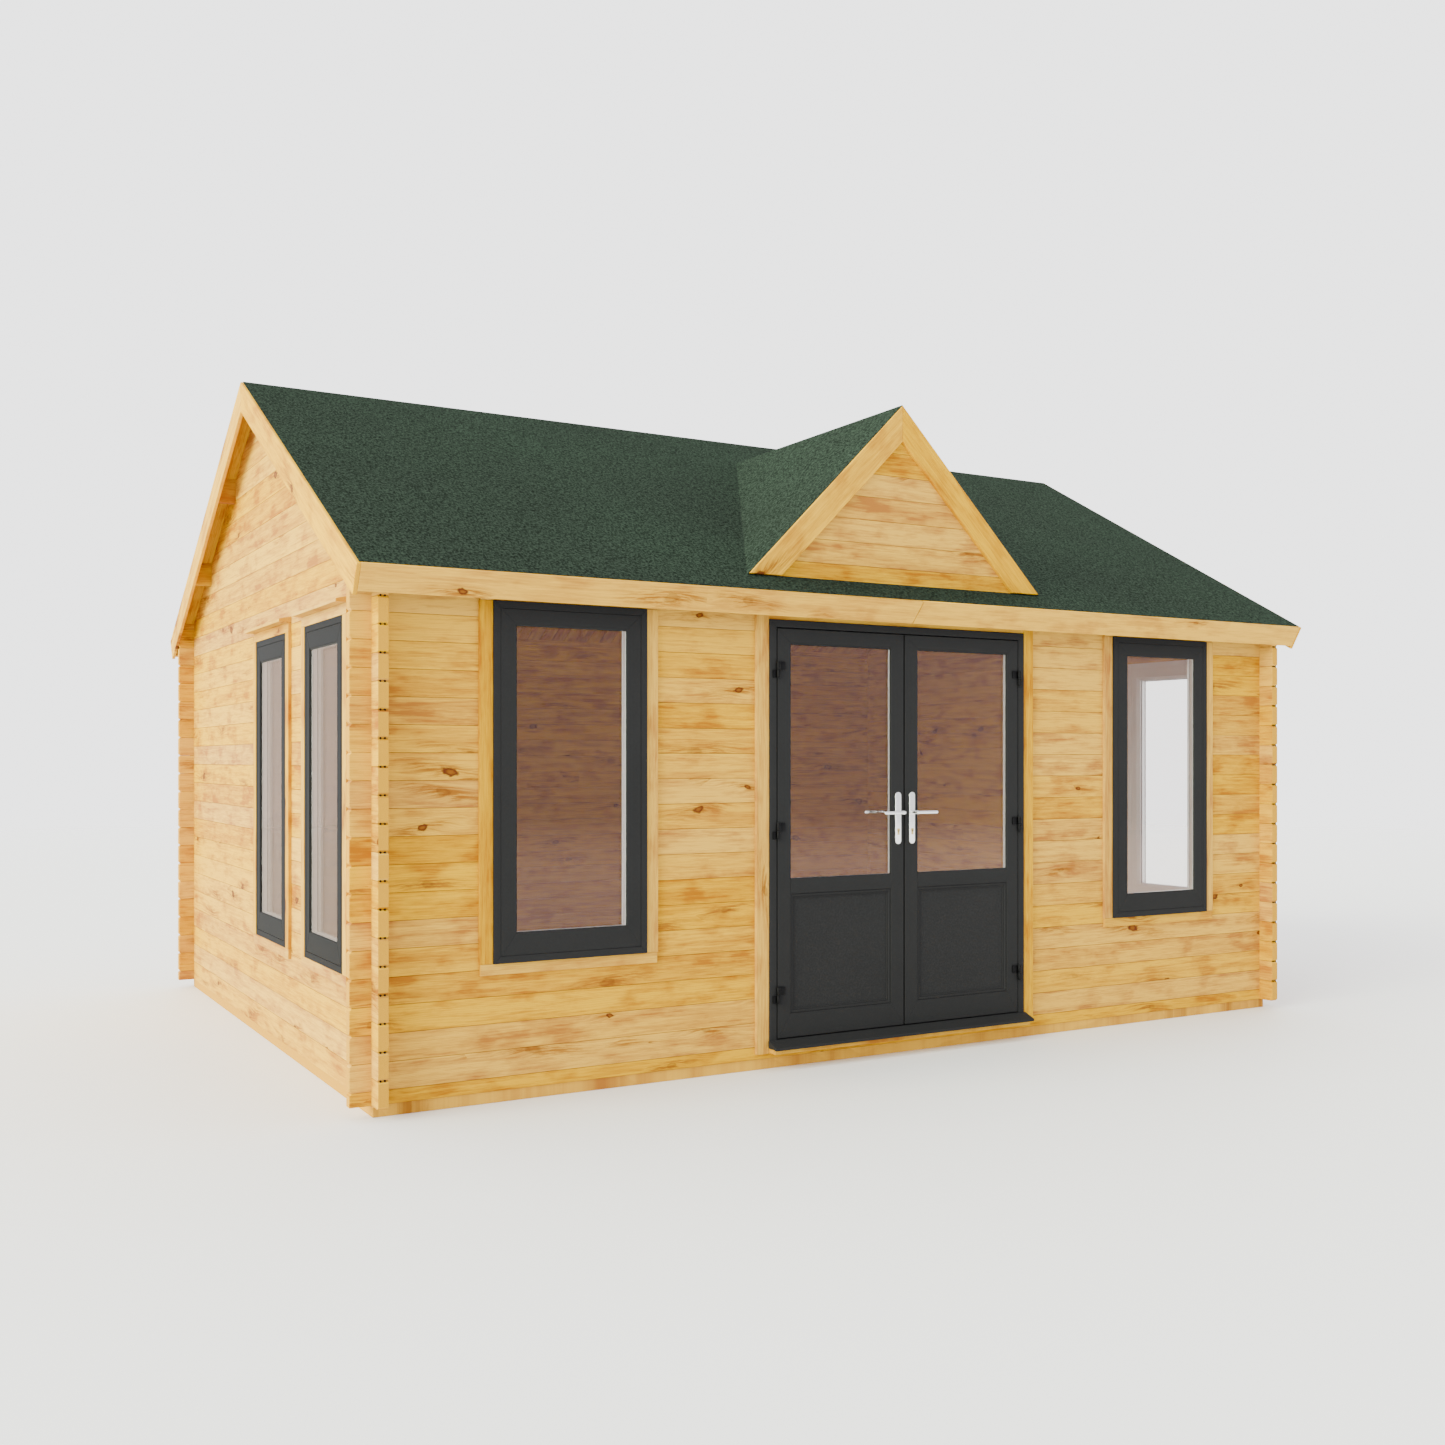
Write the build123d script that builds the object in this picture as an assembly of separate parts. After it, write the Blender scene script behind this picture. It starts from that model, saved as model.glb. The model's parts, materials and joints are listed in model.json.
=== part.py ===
"""Log cabin with a front dormer, double doors and interlocking corner logs.

Millimetres. X runs left to right seen from the front, Y from the front to the
back and Z up. The origin is the centre of the plan, on the ground.
"""
from build123d import *
from math import cos, radians, sin, sqrt, tan
import os

# Plan and logs
cabin_length = 5300         # outer wall face to outer wall face, left to right
cabin_depth = 3950          # outer wall face to outer wall face, front to back
log_thickness = 44
log_height = 114
log_reach = 90              # how far log ends and beams stand out past the crossing wall
log_groove = 3              # depth of the V along each joint
end_notch = 12              # depth of the V between log ends

# Floor
bearer_height = 50
bearer_width = 70
bearer_inset = 6            # bearers lie this far inside the wall faces
joist_width = 45
joist_count = 10
floor_thickness = 28

# Roof
roof_angle = 29             # degrees
eave_underside = 2285.5     # underside of the roof boards at the outer wall face
roof_board = 19
felt_thickness = 3
eave_reach = 172            # front wall face to the eave board's outer top edge
edge_board = 18             # thickness of the barge and eave boards
barge_width = 135
eave_board_width = 118
felt_back = 13              # the felt stops this far behind the outer faces
board_joint = 1             # open joint between boards that meet
scarf_shift = 34            # how far the eave boards' slanted joint runs along
gable_logs_from = 19        # the gables start above this many side logs

# Beams under the roof
beam_thickness = 44
purlin_height = 135
purlin_places = (655, 1355) # ridge to the purlins' upper faces
ridge_beam_height = 145

# Dormer
dormer_peak = 3193          # top of the dormer's roof boards
dormer_board = 19
dormer_barge_width = 125
dormer_barge = 20           # thickness of the dormer's barge boards

# Windows
frame_depth = 70
frame_proud = 27            # front frames stand out of the wall face
pane_thickness = 24
pane_grip = 12              # how far panes reach into their frames
pane_behind = 16            # pane face behind the frame face
front_window_width = 720
front_window_bottom = 588
front_window_top = 2115
front_window_place = 1777   # cabin centre to window centre
front_window_members = (101, 127, 97)   # sides, bottom, top
side_frame_proud = 14       # the side windows' frames stand out of the wall face
side_window_width = 650
side_window_bottom = 531
side_window_top = 2063
side_window_places = (-1273, -255)
side_window_members = (90, 125, 108)
trim_thickness = 16
side_trim_width = 60
cross_trim_width = 48
trim_step = 4               # the cross trims end this far inside the side trims
drip_height = 28
drip_reach = 60             # drip caps stand out of the wall face

# Door frame
door_width = 1554           # outside of the frame
door_bottom = 107
door_top = 2102
jamb_width = 38
head_height = 35
threshold_height = 29
stop_depth = 9              # lip behind the leaves
stop_width = 15
door_trim_width = 68
door_trim_bottom = 75
door_trim_thickness = 20
sill_reach = 95
sill_overlap = 9            # the sill runs past the frame at both ends
sill_nose = 12
sill_fall = 26
strip_reach = 85
strip_height = 24

# Door leaves
leaf_thickness = 56
leaf_gap = 5                # leaf to frame
meeting_gap = 8             # leaf to leaf, at the front faces
meeting_shift = 3           # the meeting line lies this far right of the centre
meeting_bevel = 4           # each meeting edge falls back this far at the rear
hinge_stile = 73
meeting_stile = 78
bottom_rail = 113
lock_rail_bottom = 815
lock_rail_top = 887
top_rail = 68
panel_recess = 12

# Hinges
lower_hinge = 345
middle_hinge = 1112
upper_hinge = 1867
hinge_height = 78
barrel_radius = 9
pin_radius = 5
pin_play = 0.05
barrel_clearance = 1        # barrel to the jamb's face, and knuckle to knuckle
flag_thickness = 6
leaf_flag = 42
jamb_flag = 26

# Handles
lever_level = 1188
plate_bottom = 1032
plate_top = 1288
plate_width = 35
plate_thickness = 8
plate_edge = 38.5           # leaf edge to the plate's centre line
lever_length = 120
lever_height = 16
lever_thickness = 12
lever_stand = 62            # leaf face to the lever's outer face
neck_radius = 9
neck_play = 0.3
spindle_radius = 5
spindle_bore = 10

half_length = cabin_length / 2
half_depth = cabin_depth / 2
half_log = log_height / 2
quarter_log = log_height / 4
slope = radians(roof_angle)
ridge_underside = eave_underside + half_depth * tan(slope)
ridge_top = ridge_underside + roof_board / cos(slope)
gable_reach = log_reach + edge_board
roof_wall_split = bearer_height + log_height * gable_logs_from
roof_run = (half_depth + eave_reach) / cos(slope)
front_face = -half_depth
frame_face = front_face - frame_proud
hinge_levels = (lower_hinge, middle_hinge, upper_hinge)
pieces = {}


def block(x, y, z):
    """Box between a low and a high value in each direction."""
    spans = [high - low for low, high in (x, y, z)]
    middle = [(high + low) / 2 for low, high in (x, y, z)]
    return Pos(*middle) * Box(*spans)


def along_x(outline, start, end):
    """Solid of a (y, z) outline, from start to end along X."""
    wire = Polyline([(start, y, z) for y, z in outline], close=True)
    return extrude(make_face(wire), amount=end - start, dir=(1, 0, 0))


def along_y(outline, start, end):
    """Solid of an (x, z) outline, from start to end along Y."""
    wire = Polyline([(x, start, z) for x, z in outline], close=True)
    return extrude(make_face(wire), amount=end - start, dir=(0, 1, 0))


def along_z(outline, start, end):
    """Solid of an (x, y) outline, from start to end along Z."""
    wire = Polyline([(x, y, start) for x, y in outline], close=True)
    return extrude(make_face(wire), amount=end - start, dir=(0, 0, 1))


def both_sides(solid):
    """The solid and its mirror image across the cabin's middle."""
    return [solid, mirror(solid, about=Plane.YZ)]


def group(solids):
    """Several solids that make one node."""
    return Compound(children=list(solids))


def rises(first):
    """Heights from the first, one log apart, up to the ridge."""
    count = int((ridge_top - first) / log_height) + 1
    return [first + log_height * i for i in range(count)]


def underside(y):
    """Height of the roof boards' underside."""
    return ridge_underside - abs(y) * tan(slope)


def on_roof(run, depth):
    """Point on the front slope: run down from the ridge, depth below its top."""
    y = -run * cos(slope) + depth * sin(slope)
    return y, ridge_top - run * sin(slope) - depth * cos(slope)


def at_ridge(depth):
    """Point over the middle of the cabin, depth below a slope's top."""
    return 0, ridge_top - depth / cos(slope)


def flip(outline):
    """The same outline on the other side of the middle."""
    return [(-across, up) for across, up in outline]


def log_grooves(face, joints):
    """Sections of the V that each joint shows on a wall's outer face."""
    return [[(face, j - log_groove), (face + log_groove, j), (face, j + log_groove)] for j in joints]


def end_wedges(end, joints):
    """Outlines of the V between neighbouring log ends, in (along, up)."""
    inward = -end_notch if end > 0 else end_notch
    return [[(end, j - end_notch), (end + inward, j), (end, j + end_notch)] for j in joints]


front_joints = rises(bearer_height + half_log)
side_joints = rises(bearer_height + log_height)
side_crossings = [(j - quarter_log, j + quarter_log) for j in front_joints]
front_crossings = [(bearer_height, bearer_height + quarter_log)]
front_crossings += [(j - quarter_log, j + quarter_log) for j in side_joints]
below_roof = along_x([(-half_depth * 2, underside(half_depth * 2)), (0, ridge_underside),
                      (half_depth * 2, underside(half_depth * 2)), (half_depth * 2, 0),
                      (-half_depth * 2, 0)], -cabin_length, cabin_length)
above_split = block((-cabin_length, cabin_length), (-cabin_depth, cabin_depth), (roof_wall_split, ridge_top))


def corner(x_side, y_side, span):
    """The column where two walls cross, over a span of height."""
    x = sorted((x_side * half_length, x_side * (half_length - log_thickness)))
    y = sorted((y_side * half_depth, y_side * (half_depth - log_thickness)))
    return block(x, y, span)


def whole_front():
    """The front wall's logs from corner to corner, before any opening."""
    end = half_length + log_reach
    room = half_length - log_thickness
    faces = (front_face, front_face + log_thickness)
    wall = block((-end, end), faces, (bearer_height, eave_underside * 2)) & below_roof
    low = [j for j in front_joints if j < eave_underside]
    cuts = [along_x(groove, -room, room) for groove in log_grooves(front_face, low)]
    cuts += [along_y(wedge, *faces) for side in (-end, end) for wedge in end_wedges(side, low)]
    spans = [span for span in side_crossings if span[0] < roof_wall_split]
    spans[-1] = (spans[-1][0], ridge_top)
    cuts += [corner(side, -1, span) for side in (-1, 1) for span in spans]
    return wall - cuts


def whole_left():
    """The left wall's logs with their gable, before any opening."""
    end = half_depth + log_reach
    room = half_depth - log_thickness
    faces = (-half_length, -half_length + log_thickness)
    wall = block(faces, (-end, end), (bearer_height, ridge_top)) & below_roof
    inside = [j for j in side_joints if j < ridge_underside]
    cuts = [along_y(groove, -room, room) for groove in log_grooves(-half_length, inside)]
    low = [j for j in inside if j < eave_underside]
    cuts += [along_x(wedge, *faces) for side in (-end, end) for wedge in end_wedges(side, low)]
    spans = [span for span in front_crossings if span[0] < roof_wall_split]
    cuts += [corner(-1, side, span) for side in (-1, 1) for span in spans]
    return wall - cuts


def floor():
    """Bearers under the walls, joists between them and the boards on top."""
    x, y = half_length - bearer_inset, half_depth - bearer_inset
    inner_x, inner_y = x - bearer_width, y - bearer_width
    ground = (0, bearer_height)
    ring = block((-x, x), (-y, y), ground) - block((-inner_x, inner_x), (-inner_y, inner_y), ground)
    pieces["outer_bearers"] = ring
    step = 2 * inner_x / (joist_count + 1)
    joists = []
    for i in range(joist_count):
        middle = -inner_x + step * (i + 1)
        joists.append(block((middle - joist_width / 2, middle + joist_width / 2), (-inner_y, inner_y), ground))
    pieces["floor_joists"] = group(joists)
    x, y = half_length - log_thickness, half_depth - log_thickness
    pieces["floor_boards"] = block((-x, x), (-y, y), (bearer_height, bearer_height + floor_thickness))


def window_hole(places, width, bottom, top):
    """Holes for windows in a wall, as boxes in (along, up)."""
    return [((place - width / 2, place + width / 2), (bottom, top)) for place in places]


def walls():
    """Log walls, with the front one split beside, over and under the doors."""
    front = whole_front()
    pieces["back_wall"] = mirror(front, about=Plane.XZ)
    depth = (front_face - 1, front_face + log_thickness + 1)
    half_door = door_width / 2
    for side, name in ((-1, "front_wall_left"), (1, "front_wall_right")):
        zone = block(sorted((side * half_door, side * cabin_length)), depth, (0, ridge_top))
        across, up = window_hole([side * front_window_place], front_window_width,
                                 front_window_bottom, front_window_top)[0]
        pieces[name] = (front & zone) - block(across, depth, up)
    doorway = (-half_door, half_door)
    pieces["front_wall_over_door"] = front & block(doorway, depth, (door_top, ridge_top))
    pieces["front_wall_under_door"] = front & block(doorway, depth, (0, door_bottom))
    left = whole_left()
    depth = (-half_length - 1, -half_length + log_thickness + 1)
    holes = window_hole(side_window_places, side_window_width, side_window_bottom, side_window_top)
    wall = left - above_split - [block(depth, along, up) for along, up in holes]
    gable = (left & above_split) - [along_x(outline, *depth) for outline in beam_outlines()]
    for name, solid in (("wall", wall), ("gable", gable)):
        pieces["left_" + name], pieces["right_" + name] = both_sides(solid)


def purlin_outline(place):
    """Section of the purlin that lies this far in front of the ridge."""
    far = place + beam_thickness
    foot = underside(place) - purlin_height
    return [(-place, underside(place)), (-far, underside(far)), (-far, foot), (-place, foot)]


def ridge_outline():
    """Section of the ridge beam, with its top cut to both slopes."""
    half = beam_thickness / 2
    foot = ridge_underside - ridge_beam_height
    return [(-half, underside(half)), (0, ridge_underside), (half, underside(half)), (half, foot), (-half, foot)]


def beam_outlines():
    """Sections of the ridge beam and of the purlins on both slopes."""
    front = [purlin_outline(place) for place in purlin_places]
    return [ridge_outline()] + front + [flip(outline) for outline in front]


def roof():
    """Beams, boards, felt, barge boards and eave boards."""
    end = half_length + log_reach
    beams = [along_x(outline, -end, end) for outline in beam_outlines()]
    pieces["ridge_beam"] = beams[0]
    pieces["purlins"] = group(beams[1:])
    board_run = roof_run - edge_board
    slab = [at_ridge(0), on_roof(board_run, 0), on_roof(board_run, roof_board), at_ridge(roof_board)]
    pieces["roof_boards_front"] = along_x(slab, -end, end)
    pieces["roof_boards_rear"] = along_x(flip(slab), -end, end)
    barge = [at_ridge(0), on_roof(roof_run, 0), on_roof(roof_run, barge_width), at_ridge(barge_width)]
    gap = block((-cabin_length, cabin_length), (-board_joint / 2, board_joint / 2), (0, ridge_top * 2))
    boards = [along_x(side, -end - edge_board, -end) - gap for side in (barge, flip(barge))]
    pieces["left_barge_boards"] = group(boards)
    pieces["right_barge_boards"] = group([mirror(board, about=Plane.YZ) for board in boards])
    eave = [on_roof(board_run, 0), on_roof(roof_run, 0), on_roof(roof_run, eave_board_width),
            on_roof(board_run, eave_board_width)]
    high, low = on_roof(roof_run, 0)[1], on_roof(roof_run, eave_board_width)[1]
    half = scarf_shift / 2
    slit = [(half, high), (half + board_joint, high), (board_joint - half, low), (-half, low)]
    board = along_x(eave, -end, end) - along_y(slit, -cabin_depth, 0)
    pieces["front_eave_boards"] = board
    pieces["rear_eave_boards"] = mirror(board, about=Plane.XZ)


def dormer_outline(rise, drop):
    """Both slopes of the dormer between two depths straight down from its peak."""
    reach = dormer_peak
    top, foot = dormer_peak - rise, dormer_peak - drop
    return [(0, top), (reach, top - reach), (reach, foot - reach), (0, foot), (-reach, foot - reach),
            (-reach, top - reach)]


def dormer():
    """Small log gable with its own roof, standing on the front slope's boards."""
    low = on_roof(roof_run * 2, 0)
    under_boards = along_x([at_ridge(0), low, (low[0], -cabin_depth), (0, -cabin_depth)], -cabin_length, cabin_length)
    board_drop = dormer_board * sqrt(2)
    felt_rise = felt_thickness * sqrt(2)
    chevron = along_y(dormer_outline(0, board_drop), front_face, 0) - under_boards
    middle = block((-board_joint / 2, board_joint / 2), (-cabin_depth, cabin_depth), (0, ridge_top))
    slopes = sorted((chevron - middle).solids(), key=lambda solid: solid.center().X)
    pieces["dormer_boards_left"], pieces["dormer_boards_right"] = slopes
    peak = dormer_peak - board_drop
    faces = (front_face, front_face + log_thickness)
    high = [j for j in front_joints if eave_underside < j < peak]
    grooves = [along_x(groove, -half_length, half_length) for groove in log_grooves(front_face, high)]
    gable = along_y([(0, peak), (peak, 0), (-peak, 0)], *faces) - under_boards
    pieces["dormer_front"] = gable - grooves
    barge = dormer_outline(0, dormer_barge_width * sqrt(2))
    face = front_face - dormer_barge
    foot = ridge_top + felt_thickness / cos(slope) - half_depth * tan(slope)
    below = block((-cabin_length, cabin_length), (-cabin_depth, 0), (-cabin_length, foot))
    pieces["dormer_barge_boards"] = group((along_y(barge, face, front_face) - below - middle).solids())
    gable_end = half_length + gable_reach - felt_back
    felt_run = roof_run - felt_back / cos(slope)
    half = [at_ridge(0), on_roof(felt_run, 0), on_roof(felt_run, -felt_thickness), at_ridge(-felt_thickness)]
    sheet = along_x(half, -gable_end, gable_end) + along_x(flip(half), -gable_end, gable_end)
    cover = dormer_outline(-felt_rise, cabin_depth)
    pieces["roof_felt"] = sheet - along_y(cover, front_face, 0)
    skin = along_y(dormer_outline(-felt_rise, 0), face + felt_back / 2, 0) - under_boards
    pieces["dormer_felt"] = skin - pieces["roof_felt"]


def window_section(width, bottom, top, members):
    """Opening inside a window's frame, as (across, up) about the window's centre."""
    side, low, high = members
    return (-width / 2 + side, width / 2 - side), (bottom + low, top - high)


def grown(span, amount):
    """The same span, longer by an amount at both ends."""
    return span[0] - amount, span[1] + amount


def window(width, bottom, top, members, proud):
    """Frame, pane and trim of a window in a wall that faces -Y, centred on X 0."""
    across, up = (-width / 2, width / 2), (bottom, top)
    face = front_face - proud
    depth = (face, face + frame_depth)
    hole_across, hole_up = window_section(width, bottom, top, members)
    pane_face = face + pane_behind
    pane = block(grown(hole_across, pane_grip), (pane_face, pane_face + pane_thickness), grown(hole_up, pane_grip))
    frame = block(across, depth, up) - block(hole_across, depth, hole_up) - pane
    thickness = (front_face - trim_thickness, front_face)
    uprights = grown(across, side_trim_width)
    crosses = grown(uprights, -trim_step)
    trim = block(uprights, thickness, up) + block(crosses, thickness, grown(up, cross_trim_width))
    return frame, pane, trim - block(across, thickness, up)


def drip_cap(width, top):
    """Sloping cap over a side window, on the head trim."""
    back, face = front_face, front_face - drip_reach
    foot = top + cross_trim_width
    outline = [(back, foot), (face, foot), (face, foot + drip_height / 2), (back, foot + drip_height)]
    reach = width / 2 + side_trim_width
    return along_x(outline, -reach, reach)


def windows():
    """One window beside each side of the doors, and two in each side wall."""
    sizes = (front_window_width, front_window_bottom, front_window_top, front_window_members, frame_proud)
    for name, solid in zip(("frames", "glass", "trims"), window(*sizes)):
        placed = Pos(-front_window_place, 0, 0) * solid
        pieces["front_window_" + name] = group(both_sides(placed))
    sizes = (side_window_width, side_window_bottom, side_window_top, side_window_members, side_frame_proud)
    frame, pane, trim = window(*sizes)
    trim = trim + drip_cap(side_window_width, side_window_top)
    for name, solid in (("frames", frame), ("glass", pane), ("trims", trim)):
        quarter_turned = Rot(0, 0, -90) * (Pos(0, half_depth, 0) * solid)
        turned = [Pos(-half_length, place, 0) * quarter_turned for place in side_window_places]
        pieces["left_window_" + name] = group(turned)
        pieces["right_window_" + name] = group([mirror(one, about=Plane.YZ) for one in turned])


def door_surround():
    """Frame with its stop lip, sloping sill, trim boards and the strip below."""
    half = door_width / 2
    inner = half - jamb_width
    foot, head = door_bottom + threshold_height, door_top - head_height
    back = frame_face + frame_depth
    body = block((-half, half), (frame_face, back), (door_bottom, door_top))
    opening = block((-inner, inner), (frame_face, back - stop_depth), (foot, head))
    inner -= stop_width
    through = block((-inner, inner), (frame_face, back), (foot + stop_width, head - stop_width))
    pieces["door_frame"] = body - opening - through
    nose = front_face - sill_reach
    tip = foot - sill_fall
    reach = half + sill_overlap
    outline = [(frame_face, foot), (nose, tip), (nose, tip - sill_nose), (nose + sill_nose, tip - sill_nose),
               (nose + sill_nose, door_bottom - sill_nose / 2), (frame_face, door_bottom - sill_nose / 2)]
    pieces["door_sill"] = along_x(outline, -reach, reach)
    thickness = (front_face - door_trim_thickness, front_face)
    outer = half + door_trim_width
    trim = block((-outer, outer), thickness, (door_trim_bottom, door_top + door_trim_width))
    trim -= block((-half, half), thickness, (door_trim_bottom, door_top))
    strip_top = door_bottom - sill_nose / 2
    strip = block((-half, half), (front_face - strip_reach + sill_nose, front_face),
                  (strip_top - strip_height, strip_top))
    pieces["door_trims"] = trim + strip


def hinge_place():
    """Plan position of the left leaf's pins, in front of the jamb's face."""
    x = -door_width / 2 + jamb_width + leaf_gap / 2
    return x, frame_face - barrel_radius - barrel_clearance


def knuckle(level, reach, bore):
    """One half of a flag hinge on the left side, over a span of height."""
    x, y = hinge_place()
    height = level[1] - level[0]
    barrel = Pos(x, y, sum(level) / 2) * Cylinder(barrel_radius, height)
    flag = block(sorted((x, x + reach)), (frame_face - flag_thickness, frame_face), level)
    if reach > 0:
        flag -= block((x - barrel_radius, x + leaf_gap / 2), (frame_face - flag_thickness, frame_face), level)
        flag += block((x, x + leaf_gap), (frame_face - flag_thickness, frame_face - barrel_clearance), level)
    half = barrel + flag
    if bore:
        half -= Pos(x, y, sum(level) / 2) * Cylinder(pin_radius + pin_play, height)
    return half


def hinges():
    """Fixed lower knuckles with their pins, and the leaves' upper knuckles."""
    x, y = hinge_place()
    fixed, turning = [], []
    for level in hinge_levels:
        low, high = level - hinge_height / 2, level + hinge_height / 2
        split = level - barrel_clearance
        lower = knuckle((low, split), -jamb_flag, False)
        lower += Pos(x, y, (level + high) / 2 - barrel_clearance) * Cylinder(pin_radius, high - level)
        fixed.append(lower)
        turning.append(knuckle((level, high), leaf_flag, True))
    pieces["door_hinge_pins"] = group(fixed + [mirror(one, about=Plane.YZ) for one in fixed])
    pieces["left_door_hinges"] = group(turning)
    pieces["right_door_hinges"] = group([mirror(one, about=Plane.YZ) for one in turning])


def leaf(edge):
    """Left-hand leaf from its hinge edge to a meeting edge, with its pane."""
    hinge_edge = -door_width / 2 + jamb_width + leaf_gap
    face, back = frame_face, frame_face + leaf_thickness
    foot = door_bottom + threshold_height + leaf_gap
    head = door_top - head_height - leaf_gap
    plan = [(hinge_edge, face), (edge, face), (edge - meeting_bevel, back), (hinge_edge, back)]
    body = along_z(plan, foot, head)
    across = (hinge_edge + hinge_stile, edge - meeting_stile)
    up = (lock_rail_top, head - top_rail)
    pane_face = face + pane_behind
    pane = block(grown(across, pane_grip), (pane_face, pane_face + pane_thickness), grown(up, pane_grip))
    body -= block(across, (face, back), up) + pane
    panel = (foot + bottom_rail, lock_rail_bottom)
    for skin in ((face, face + panel_recess), (back - panel_recess, back)):
        body -= block(across, skin, panel)
    bore = Pos(edge - plate_edge, 0, lever_level) * Rot(90, 0, 0) * Cylinder(spindle_bore, cabin_depth * 2)
    return body - bore, pane


def plate(x, y):
    """Long plate with round ends and a bore for the lever's neck."""
    radius = plate_width / 2
    body = block((x - radius, x + radius), y, (plate_bottom + radius, plate_top - radius))
    for level in (plate_bottom + radius, plate_top - radius):
        body += Pos(x, sum(y) / 2, level) * Rot(90, 0, 0) * Cylinder(radius, y[1] - y[0])
    return body - Pos(x, sum(y) / 2, lever_level) * Rot(90, 0, 0) * Cylinder(neck_radius + neck_play, y[1] - y[0])


def lever(x):
    """Two levers on one spindle, pointing away from the meeting edge."""
    face, back = frame_face, frame_face + leaf_thickness
    spindle = Pos(x, (face + back) / 2, lever_level) * Rot(90, 0, 0) * Cylinder(spindle_radius, leaf_thickness)
    handle = spindle
    for start, way in ((face, -1), (back, 1)):
        end = start + way * lever_stand
        middle = (start + end) / 2
        handle += Pos(x, middle, lever_level) * Rot(90, 0, 0) * Cylinder(neck_radius, lever_stand)
        grip = sorted((end - way * lever_thickness, end))
        handle += block((x - lever_length, x), grip, (lever_level - lever_height / 2, lever_level + lever_height / 2))
    return handle


def doors():
    """The two leaves with their panes, plates and levers."""
    half_gap = meeting_gap / 2
    for name, edge in (("left", meeting_shift - half_gap), ("right", -meeting_shift - half_gap)):
        body, pane = leaf(edge)
        x = edge - plate_edge
        face, back = frame_face, frame_face + leaf_thickness
        plates = group([plate(x, (face - plate_thickness, face)), plate(x, (back, back + plate_thickness))])
        parts = {"leaf": body, "glass": pane, "plates": plates, "lever": lever(x)}
        for kind, solid in parts.items():
            pieces[name + "_door_" + kind] = solid if name == "left" else mirror(solid, about=Plane.YZ)


floor()
walls()
roof()
dormer()
windows()
door_surround()
hinges()
doors()
os.makedirs("parts", exist_ok=True)
for name, solid in pieces.items():
    export_step(solid, "parts/" + name + ".step")
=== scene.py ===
"""Log cabin with a front dormer: logs, boards, felt, windows, doors, floor and light."""

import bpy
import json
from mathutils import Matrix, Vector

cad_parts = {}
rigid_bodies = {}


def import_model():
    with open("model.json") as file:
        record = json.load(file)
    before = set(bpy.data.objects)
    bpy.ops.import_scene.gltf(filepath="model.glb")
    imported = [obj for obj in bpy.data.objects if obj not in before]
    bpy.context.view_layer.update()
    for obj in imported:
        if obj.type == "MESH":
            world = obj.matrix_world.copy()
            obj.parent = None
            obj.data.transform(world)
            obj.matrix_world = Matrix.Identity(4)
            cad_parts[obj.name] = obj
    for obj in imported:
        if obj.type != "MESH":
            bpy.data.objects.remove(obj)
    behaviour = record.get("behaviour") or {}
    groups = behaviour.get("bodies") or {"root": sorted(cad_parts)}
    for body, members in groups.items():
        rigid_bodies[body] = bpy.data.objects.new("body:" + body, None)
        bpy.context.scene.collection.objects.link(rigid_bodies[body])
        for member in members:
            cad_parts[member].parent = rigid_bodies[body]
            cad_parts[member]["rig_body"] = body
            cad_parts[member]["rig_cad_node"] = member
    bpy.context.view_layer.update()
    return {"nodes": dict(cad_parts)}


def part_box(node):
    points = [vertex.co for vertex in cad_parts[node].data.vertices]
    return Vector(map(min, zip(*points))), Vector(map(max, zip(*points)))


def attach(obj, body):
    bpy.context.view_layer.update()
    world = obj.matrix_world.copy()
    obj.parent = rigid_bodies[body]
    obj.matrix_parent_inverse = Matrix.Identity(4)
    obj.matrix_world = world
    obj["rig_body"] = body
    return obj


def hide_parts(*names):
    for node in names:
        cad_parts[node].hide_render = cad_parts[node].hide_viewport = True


bl_info = {
    "name": "Log Cabin",
    "version": (1, 0, 0),
    "blender": (4, 5, 0),
    "location": "3D View > Sidebar > Log Cabin",
    "description": "Builds a log cabin with a dormer, windows and double doors round its packed frame",
    "category": "Add Mesh",
}

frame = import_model()

import json
import math
import random

import bmesh
import bpy
import numpy as np
from mathutils import Matrix, Vector

HALF_LENGTH = -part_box("left_wall")[0].x
HALF_DEPTH = -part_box("front_wall_left")[0].y
LOG_REACH = -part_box("left_wall")[0].y - HALF_DEPTH
SLOPE = math.radians(29)
RIDGE_TOP = max(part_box("roof_boards_front")[1].z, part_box("roof_boards_rear")[1].z)
DOOR_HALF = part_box("door_frame")[1].x
FRAME_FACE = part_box("door_frame")[0].y

# Whole logs in each wall and in the dormer, and boards on each slope
FRONT_LOGS, SIDE_LOGS, DORMER_LOGS = 20, 30, 9
ROOF_BOARDS = 58

# The gap between two logs, and how far cutters reach past what they cut
LOG_GAP = 0.0004
CLEAR = 0.01
BOARD_ROUNDING = 0.002
TRIM_ROUNDING = 0.0018

FRONT_WINDOW = {"width": 0.720, "bottom": 0.588, "top": 2.115, "sides": 0.101, "low": 0.127, "high": 0.097,
                "proud": 0.027}
SIDE_WINDOW = {"width": 0.650, "bottom": 0.531, "top": 2.063, "sides": 0.090, "low": 0.125, "high": 0.108,
               "proud": 0.014}

HINGE_EDGE = -DOOR_HALF + 0.043
HINGE_LEVELS, HINGE_HALF = (0.345, 1.112, 1.867), 0.039
LEAF_FOOT, LEAF_HEAD = 0.141, 2.062
LEAF_THICK = 0.056
MID_RAIL = (0.815, 0.887)
BEAD = 0.0216
LEVER_LEVEL = 1.188

# Knots in a metre of board and across it, their smallest and largest radius, and the steps of the year rings
KNOTS_ALONG, KNOTS_ACROSS = 1.7, 5.0
KNOT_RADIUS = (0.009, 0.022)
RING_STEP, SAWN_RING_STEP = 0.0062, 0.0031
JOINT_SHADE = (0.0026, 0.0004)
GRAIN_SPREAD = 40

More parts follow.
